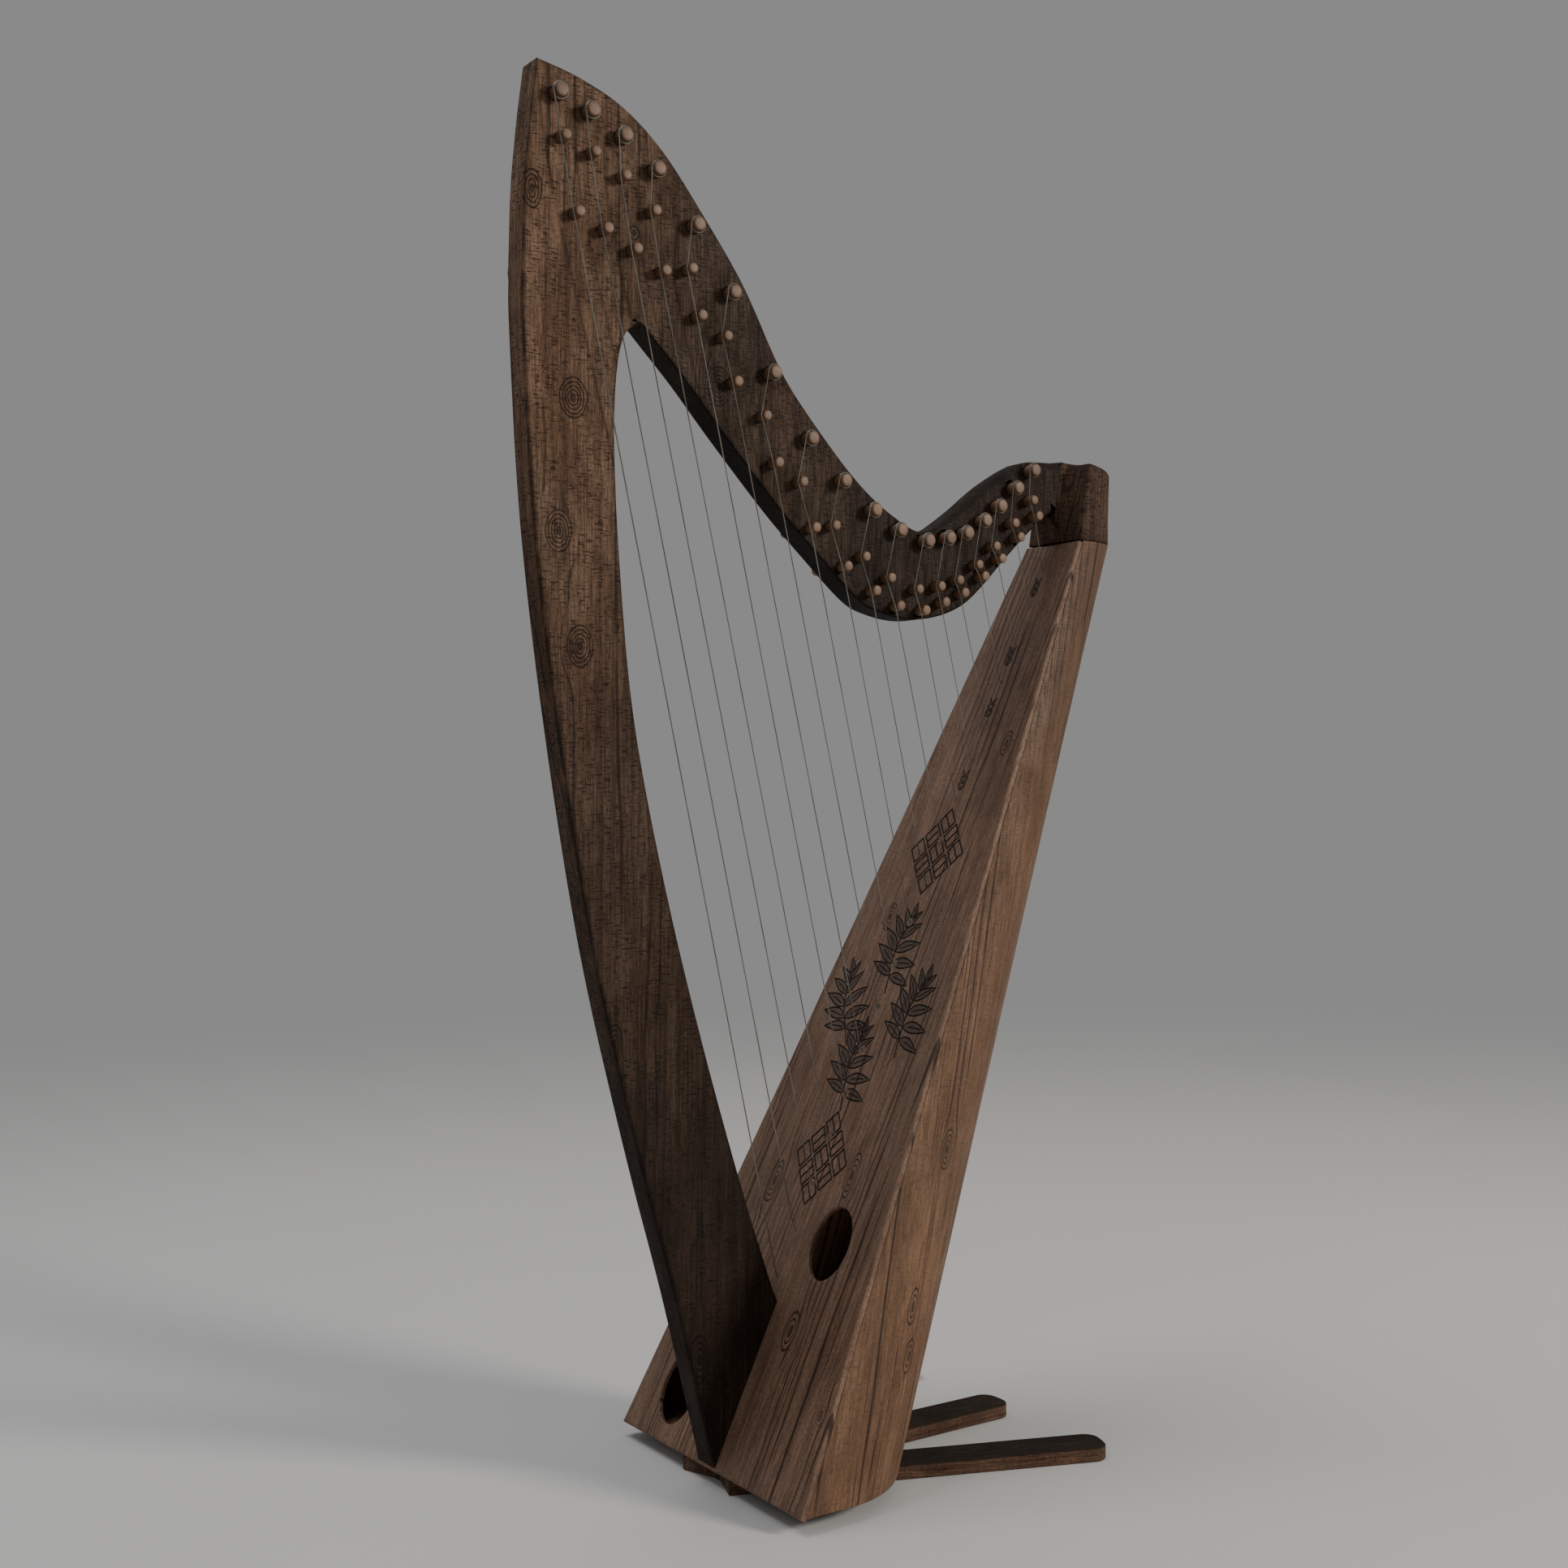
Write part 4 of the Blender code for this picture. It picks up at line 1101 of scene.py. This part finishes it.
def turned_shape(profile, sides):
    """A rod along +Y: the profile lists (y, radius, share of wear and painted edge shade)."""
    shape = bmesh.new()
    wear = shape.verts.layers.float.new("wear")
    rings = []
    for y, radius, worn_and_shaded in profile:
        ring = []
        for i in range(sides):
            angle = 2.0 * math.pi * i / sides
            made = shape.verts.new((radius * math.cos(angle), y, radius * math.sin(angle)))
            made[wear] = worn_and_shaded
            ring.append(made)
        rings.append(ring)
    return skinned(shape, rings)


def dowel_profile(low, high, radius):
    """Softly broken ends on a rod, a little crowned."""
    half = [
        (0.00000, radius * 0.30, 0.0), (0.00006, radius * 0.62, 0.0),
        (0.00016, radius - 0.00105, 0.15), (0.00034, radius - 0.00055, 0.8),
        (0.00070, radius - 0.00018, 1.0), (0.00125, radius, 0.5), (0.00230, radius, 0.0),
    ]
    return [(low + y, r, w) for y, r, w in half] + [(high - y, r, w) for y, r, w in reversed(half)]


PEG_SIDES = 32
PIN_SIDES = 28


def make_dowels(bores, material):
    """A tuning peg on every peg's axis, and a pin in every smaller bore of the neck."""
    low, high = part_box("tuning_peg_01")
    radius = (high.x - low.x) / 2.0
    for joint in frame["joints"]:
        x, _, z = joint["pos_m"]
        name = joint["child"].replace("peg", "tuning_peg")
        shape = turned_shape(dowel_profile(low.y, high.y, radius), PEG_SIDES)
        piece(name + "_dowel", shape, [material], (name,), joint["child"], (x, 0.0, z))
    pins = [(m, r) for m, r in bores if r < radius - 0.0005]
    pins.sort(key=lambda one: (round(one[0].x, 3), one[0].z))
    for number, (middle, size) in enumerate(pins, 1):
        shape = turned_shape(dowel_profile(low.y, high.y, size), PIN_SIDES)
        spot = (middle.x, 0.0, middle.z)
        piece(f"string_pin_{number:02d}", shape, [material], (), BODY, spot)


ROUND_SIDES = 8  # round a string or an eyelet


def round_ring(shape, centre, radius, side, other):
    ring = []
    for k in range(ROUND_SIDES):
        angle = 2.0 * math.pi * k / ROUND_SIDES
        offset = radius * (math.cos(angle) * side + math.sin(angle) * other)
        ring.append(shape.verts.new(centre + offset))
    return ring


def tube_shape(points, radii):
    """A round tube along a line, with its own radius at every point."""
    shape = bmesh.new()
    rings = []
    side = None
    for i, point in enumerate(points):
        before = (point - points[i - 1]).normalized() if i else None
        after = (points[i + 1] - point).normalized() if i + 1 < len(points) else None
        along = ((before or after) + (after or before)).normalized()
        side = along.orthogonal() if side is None else side
        side = (side - side.dot(along) * along).normalized()
        rings.append(round_ring(shape, point, radii[i], side, along.cross(side)))
    return skinned(shape, rings)


def ring_shape(loop, radius):
    """A closed round ring along a loop."""
    shape = bmesh.new()
    middle = sum(loop, Vector()) / len(loop)
    rings = []
    for i, point in enumerate(loop):
        along = (loop[(i + 1) % len(loop)] - loop[i - 1]).normalized()
        out = (point - middle).normalized()
        rings.append(round_ring(shape, point, radius, out, along.cross(out)))
    skin(shape, [rings[-1], *rings])
    bmesh.ops.recalc_face_normals(shape, faces=shape.faces)
    return shape


TAIL_RINGS = 7  # rings of a CAD string from the bridge pin down to the end of its knot


def eased_bend(before, bend, after, reach=0.0012):
    """Three points in place of a sharp bend round a pin."""
    back = bend + (before - bend).normalized() * reach
    ahead = bend + (after - bend).normalized() * reach
    return [back, 0.25 * back + 0.5 * bend + 0.25 * ahead, ahead]


EYELET_SIDES = 12
EYELET_WIDE = 0.00135
EYELET_RADIUS = 0.0006
EYELET_LIFT = 0.0010  # from where a string bends into its hole


def make_strings(material, eyelet):
    for name in sorted(n for n in NODES if n[:7] == "string_" and n[7:].isdigit()):
        rings = string_rings(name)
        coil = [centre for centre, _ in rings[:-TAIL_RINGS]]
        bridge, guide, lead = [centre for centre, _ in rings[-TAIL_RINGS : -TAIL_RINGS + 3]]
        thin = rings[0][1]
        points = curve(coil, 4) + [coil[-1]]
        points += eased_bend(coil[-1], bridge, guide)
        points += eased_bend(bridge, guide, lead)
        radii = [thin] * len(points)
        for centre, radius in rings[-TAIL_RINGS + 2 :]:
            points.append(centre)
            radii.append(radius)
        piece(f"{name}_line", tube_shape(points, radii), [material], (name,))
        loop = []
        for k in range(EYELET_SIDES):
            angle = 2.0 * math.pi * k / EYELET_SIDES
            across = Vector((0.0, math.cos(angle), 0.0)) + math.sin(angle) * UPWARD
            loop.append(lead + EYELET_LIFT * INWARD + EYELET_WIDE * across)
        eyelet_name = name.replace("string_", "string_eyelet_")
        piece(eyelet_name, ring_shape(loop, EYELET_RADIUS), [eyelet], ())


# ------------------------------------------------------------------ shoulder block

SHOULDER_SLOPE = 0.0085 / 0.062  # fall of its top per run towards the back
SHOULDER_LEAN = 0.0125 / 0.0755  # run of its front towards the back per rise
NOSE_LOW = 0.002  # reach of the nose at the bottom, and from NOSE_FULL_Z up
NOSE_FULL = 0.012
NOSE_FULL_Z = 0.835
COVE_RADIUS = 0.011
COVE_STEPS = 12
SIDE_STEPS = 6
BACK_STEPS = 48
CROWN = 0.0042
CROWN_CLEAR = 0.0085  # the straight part ends this far below the top
CROWN_TURNS = (0.0, 20.0, 40.0, 60.0, 78.0, 90.0)  # in degrees
FOOT_LEVELS = ((0.0, 0.0010, 0.6), (0.0004, 0.0003, 1.0), (0.0012, 0.0, 0.5), (0.004, 0.0, 0.0))


def shoulder_plan(z):
    """The block's plan at a height (nose, coves, sides and round back) and its nose's x."""
    half, straight, deep = BOX_ENDS[1]
    share = min(1.0, (z - TOP_Z) / (NOSE_FULL_Z - TOP_Z))
    reach = NOSE_LOW + (NOSE_FULL - NOSE_LOW) * share
    face = front_x(TOP_Z) + SHOULDER_LEAN * (z - TOP_Z)
    side = []
    for i in range(COVE_STEPS + 1):
        angle = math.pi / 2.0 * i / COVE_STEPS
        x = face - reach * (1.0 - math.sin(angle))
        side.append((x, -HALF_BOARD - COVE_RADIUS * (1.0 - math.cos(angle))))
    cove_end = HALF_BOARD + COVE_RADIUS
    for i in range(1, SIDE_STEPS):
        t = i / SIDE_STEPS
        side.append((face + straight / 4.0 * t * t, -cove_end - (half - cove_end) * t))
    side.append((face + straight / 4.0 + 0.0008, -half + 0.0004))
    centre = front_x(TOP_Z) + straight
    start = max(centre, face + straight / 2.0)
    arc = []
    for i in range(BACK_STEPS + 1):
        angle = math.pi * (i / BACK_STEPS - 0.5)
        arc.append((start + (centre + deep - start) * math.cos(angle), half * math.sin(angle)))
    mirrored = [(x, -y) for x, y in reversed(side)]
    return [Vector(p) for p in side + arc + mirrored], face - reach


def shoulder_levels(low, high):
    """(height, inset, share of wear and painted edge shade) from the eased foot of the block to
    its crowned top.
    """
    levels = [(low + rise, eased, worn_and_shaded) for rise, eased, worn_and_shaded in FOOT_LEVELS]
    start = low + FOOT_LEVELS[-1][0]
    for k in range(1, 13):
        levels.append((start + (high - CROWN_CLEAR - start) * k / 12, 0.0, 0.0))
    for turn in CROWN_TURNS:
        angle = math.radians(turn)
        worn_and_shaded = 1.0 if 0.0 < turn < 90.0 else 0.3
        eased = CROWN * (1.0 - math.cos(angle))
        levels.append((high - CROWN * (1.0 - math.sin(angle)), eased, worn_and_shaded))
    return levels


def make_shoulder(material):
    shape = bmesh.new()
    grain = shape.verts.layers.float_vector.new("grain")
    wear = shape.verts.layers.float.new("wear")
    low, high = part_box("shoulder_block")
    rings = []
    for z, eased, worn_and_shaded in shoulder_levels(low.z, high.z):
        plan, nose = shoulder_plan(z)
        share = clamped((z - NOSE_FULL_Z) / (high.z - CROWN - NOSE_FULL_Z))
        distances = []
        for p in plan:
            # The rounding dies out through the coves, so that the nose still meets the neck.
            at_front = p.x < nose + NOSE_FULL + 0.001
            clear = clamped((abs(p.y) - HALF_BOARD) / COVE_RADIUS) if at_front else 1.0
            distances.append(eased * ease(clear))
        ring = []
        for p in inset(turning(plan, 1.0), distances):
            height = z - SHOULDER_SLOPE * share * (p.x - nose)
            made = shape.verts.new((p.x, p.y, height))
            made[grain] = Vector((p.x - 0.9 * abs(p.y), p.y, height)) / MM
            made[wear] = worn_and_shaded
            ring.append(made)
        rings.append(ring)
    return piece("shoulder_block_carved", skinned(shape, rings), [material], ("shoulder_block",))


# ------------------------------------------------------------------ stand and inner pieces


LEG_INSET = 0.00002  # keeps the finer outline inside the CAD's box
LEG_RADIUS = 0.0016


def make_leg(name, material):
    low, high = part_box(name)
    loop = flat_loops(name, Vector((0.0, 0.0, 1.0)))[0]
    longest = max(range(len(loop)), key=lambda i: (loop[i] - loop[i - 1]).length)
    along = (loop[longest] - loop[longest - 1]).normalized()
    along = along if along.x > 0.0 else -along
    across = Vector((-along.y, along.x, 0.0))

    def place(u, v, depth):
        return u * across + v * along + Vector((0.0, 0.0, high.z - depth))

    outline = [Vector((p.dot(across), p.dot(along))) for p in loop]
    fine = rounded_outline(turning(outline, 1.0), 4, math.radians(40.0))
    fine = inset(fine, [LEG_INSET] * len(fine))
    plate = Plate(name + "_board", high.z - low.z, place)
    plate.border(fine, [LEG_RADIUS] * len(fine))
    plate.fill(far=False)
    plate.fill(far=True)
    return plate.finish([material], (name,))


def repaint(names, material):
    for name in names:
        NODES[name].material_slots[0].material = material


# ------------------------------------------------------------------ build

# Knots: (across, along, half width, half height, rings), in millimetres on each piece.
PILLAR_KNOTS = (
    (-289.0, 902.0, 6.0, 7.0, 0.0),
    (-267.0, 888.0, 13.0, 17.0, 5.0), (-280.0, 782.0, 12.0, 17.5, 5.0),
    (-261.0, 692.0, 12.0, 17.5, 5.0), (-230.0, 375.0, 8.0, 16.0, 4.0),
    (-150.0, 108.0, 10.0, 21.0, 4.0),
)
NECK_KNOTS = (
    (-303.0, 1047.0, 8.5, 16.0, 4.0), (-212.0, 1027.0, 5.0, 6.0, 2.0),
    (-131.0, 913.0, 11.5, 17.0, 5.0),
)
FRONT_KNOTS = (
    (-49.0, 265.0, 7.5, 21.0, 4.0), (-44.0, 128.0, 8.0, 18.0, 3.0), (-119.0, 77.0, 3.5, 8.0, 1.6),
    (53.0, 242.0, 8.5, 20.0, 4.0), (-41.0, 675.0, 6.0, 13.0, 3.0), (31.0, 499.0, 8.0, 14.0, 4.0),
)
BACK_KNOTS = (
    (-143.0, 276.0, 8.0, 17.0, 4.0), (-157.0, 155.0, 6.5, 15.0, 3.0),
    (-151.0, 116.0, 6.5, 14.0, 3.0),
    (168.0, 218.0, 7.5, 16.0, 4.0), (104.0, 470.0, 7.0, 15.0, 3.0), (36.0, 705.0, 6.0, 14.0, 3.0),
)

# Painted shade: the pillar darkens towards its foot, where the box shades it.
pillar_shades = ((860.0, 560.0, 0.48, "along"), (560.0, 200.0, 0.67, "along"))
pillar_wood = wood("pillar_wood", varied(DARK_LOOK, shades=pillar_shades), PILLAR_KNOTS)
# Painted shade: the neck darkens towards the shoulder block, and its underside is darkened.
neck_shades = ((-265.0, -130.0, 0.64, "across"), (-60.0, 60.0, 0.46, "across"))
neck_wood = wood("neck_wood", varied(DARK_LOOK, shades=neck_shades, under=0.75), NECK_KNOTS)
block_look = varied(
    DARK_LOOK, light=(0.120, 0.060, 0.032), mid=(0.062, 0.030, 0.016), spacing=6.0, growth=0.80,
    thick=0.0, tilt=0.2,
)
block_wood = wood("block_wood", block_look)
front_look = varied(
    BOX_LOOK, light=(0.330, 0.196, 0.130), mid=(0.235, 0.137, 0.090), cool=(0.225, 0.148, 0.104),
)
front_wood = wood("front_wood", front_look, FRONT_KNOTS)
# Painted shade: the back darkens towards its top.
back_shades = BOX_LOOK["shades"] + ((420.0, 620.0, 0.24, "along"),)
back_look = varied(BOX_LOOK, heart=900.0, wander=16.0, fade_from=0.47, shades=back_shades)
back_wood = wood("back_wood", back_look, BACK_KNOTS)
# The cut lines are coloured far darker than the board.
darkened_groove_look = toned(front_look, ("light", "mid", "cool", "dark"), (0.10, 0.10, 0.10))
groove_wood = wood("groove_wood", darkened_groove_look)
stained_look = toned(front_look, ("light", "mid", "cool"), (0.46, 0.54, 0.64))
stained_wood = wood("stained_wood", stained_look)
leg_look = varied(
    DARK_LOOK, light=(0.230, 0.125, 0.080), mid=(0.140, 0.074, 0.048), cool=(0.150, 0.088, 0.060),
    spacing=4.2, growth=0.85, ticks=0.35, edge=(0.10, 0.058, 0.034), thick=0.0, tilt=1.0,
    # Painted shade: the legs' tops are darker than their sides.
    shades=((2.2, 0.8, 0.80, "depth"),),
)
leg_wood = wood("leg_wood", leg_look)
# Painted shade: the inner pieces are coloured darker than the box's outside, as inside the box.
inner_look = varied(
    BOX_LOOK, light=(0.16, 0.095, 0.06), mid=(0.12, 0.070, 0.045), rough=0.72, shades=(),
)
inner_wood = wood("inner_wood_sawn_painted_shade", inner_look, (), "object")
peg_wood = dowel_wood("dowel_wood", (0.218, 0.120, 0.064), (0.094, 0.044, 0.020))
gut = string_material("gut_string")
bone = string_material("eyelet_horn")
steel = metal("plated_steel", (0.50, 0.48, 0.45), (0.20, 0.17, 0.14))

make_soundboard([front_wood, groove_wood, stained_wood])
make_back(back_wood)
make_pillar(pillar_wood)
neck_bores = make_neck(neck_wood)
make_shoulder(block_wood)
make_dowels(neck_bores, peg_wood)
make_strings(gut, bone)
for leg_name in ("middle_leg", "near_leg", "far_leg"):
    make_leg(leg_name, leg_wood)
INNER_BOARDS = (
    "bottom_board", "top_block", "toe_block", "string_rib", "lower_brace", "upper_brace",
)
INNER_DOWELS = (
    "neck_tenon", "neck_dowel_front", "neck_dowel_rear", "block_dowel_near", "block_dowel_far",
)
INNER_STEEL = ("pillar_bolt", "middle_leg_screw", "near_leg_screw", "far_leg_screw")
repaint(INNER_BOARDS, inner_wood)
repaint(INNER_DOWELS, peg_wood)
repaint(INNER_STEEL, steel)

# ------------------------------------------------------------------ floor, light and camera

BACKDROP = (0.62, 0.62, 0.62)
BACKDROP_STRENGTH = 0.42
FADE = (1.0, 4.2)  # distances over which the floor turns into the backdrop
FLOOR_RADIUS = 40.0


def floor_material():
    graph = Graph("pale_floor")
    place = graph.node("ShaderNodeTexCoord", {}).outputs["Object"]
    cloud = graph.noise(place, (1.3, 1.3, 1.3), 3.0)
    graph.shader.inputs["Roughness"].default_value = 0.75
    x, y, _ = graph.split(place)[0:3]
    far = graph.remap(graph.length(x, y), *FADE)
    pale = graph.mix(cloud, (0.60, 0.595, 0.585), (0.66, 0.655, 0.645))
    graph.put(graph.shader.inputs["Base Color"], graph.mix(far, pale, (0.0, 0.0, 0.0)))
    graph.shader.inputs["Emission Color"].default_value = (*BACKDROP, 1.0)
    graph.put(graph.shader.inputs["Emission Strength"], graph.times(far, BACKDROP_STRENGTH))
    graph.shader.inputs["Specular IOR Level"].default_value = 0.0
    return graph.material


def make_floor():
    shape = bmesh.new()
    bmesh.ops.create_circle(shape, cap_ends=True, radius=FLOOR_RADIUS, segments=96)
    mesh = bpy.data.meshes.new("floor")
    shape.to_mesh(mesh)
    shape.free()
    mesh.materials.append(floor_material())
    floor = bpy.data.objects.new("floor", mesh)
    bpy.context.scene.collection.objects.link(floor)


def soft_light(name, place, target, size, power, colour):
    light = bpy.data.lights.new(name, "AREA")
    light.shape = "DISK"
    light.size = size
    light.energy = power
    light.color = colour
    lamp = bpy.data.objects.new(name, light)
    lamp.location = place
    lamp.rotation_euler = (Vector(target) - Vector(place)).to_track_quat("-Z", "Y").to_euler()
    lamp.visible_camera = False
    bpy.context.scene.collection.objects.link(lamp)


make_floor()
soft_light("key_light", (2.6, -3.6, 2.3), (0.0, 0.0, 0.6), 1.1, 150.0, (1.0, 0.96, 0.90))
soft_light("fill_light", (-2.6, -1.6, 1.3), (0.0, 0.0, 0.55), 2.2, 5.0, (0.92, 0.95, 1.0))
soft_light("top_light", (-0.7, 0.5, 3.0), (0.0, 0.0, 0.6), 1.6, 30.0, (0.97, 0.97, 1.0))

world = bpy.data.worlds.new("studio")
world.use_nodes = True
world.node_tree.nodes["Background"].inputs["Color"].default_value = (*BACKDROP, 1.0)
world.node_tree.nodes["Background"].inputs["Strength"].default_value = BACKDROP_STRENGTH
bpy.context.scene.world = world

camera = bpy.data.cameras.new("camera")
camera.lens = 43.456
camera.sensor_width = 36.0
viewer = bpy.data.objects.new("camera", camera)
viewer.location = (-0.9715, -1.341, 0.583)
viewer.rotation_euler = (math.radians(90.0), 0.0, math.radians(-34.3))
bpy.context.scene.collection.objects.link(viewer)
bpy.context.scene.camera = viewer
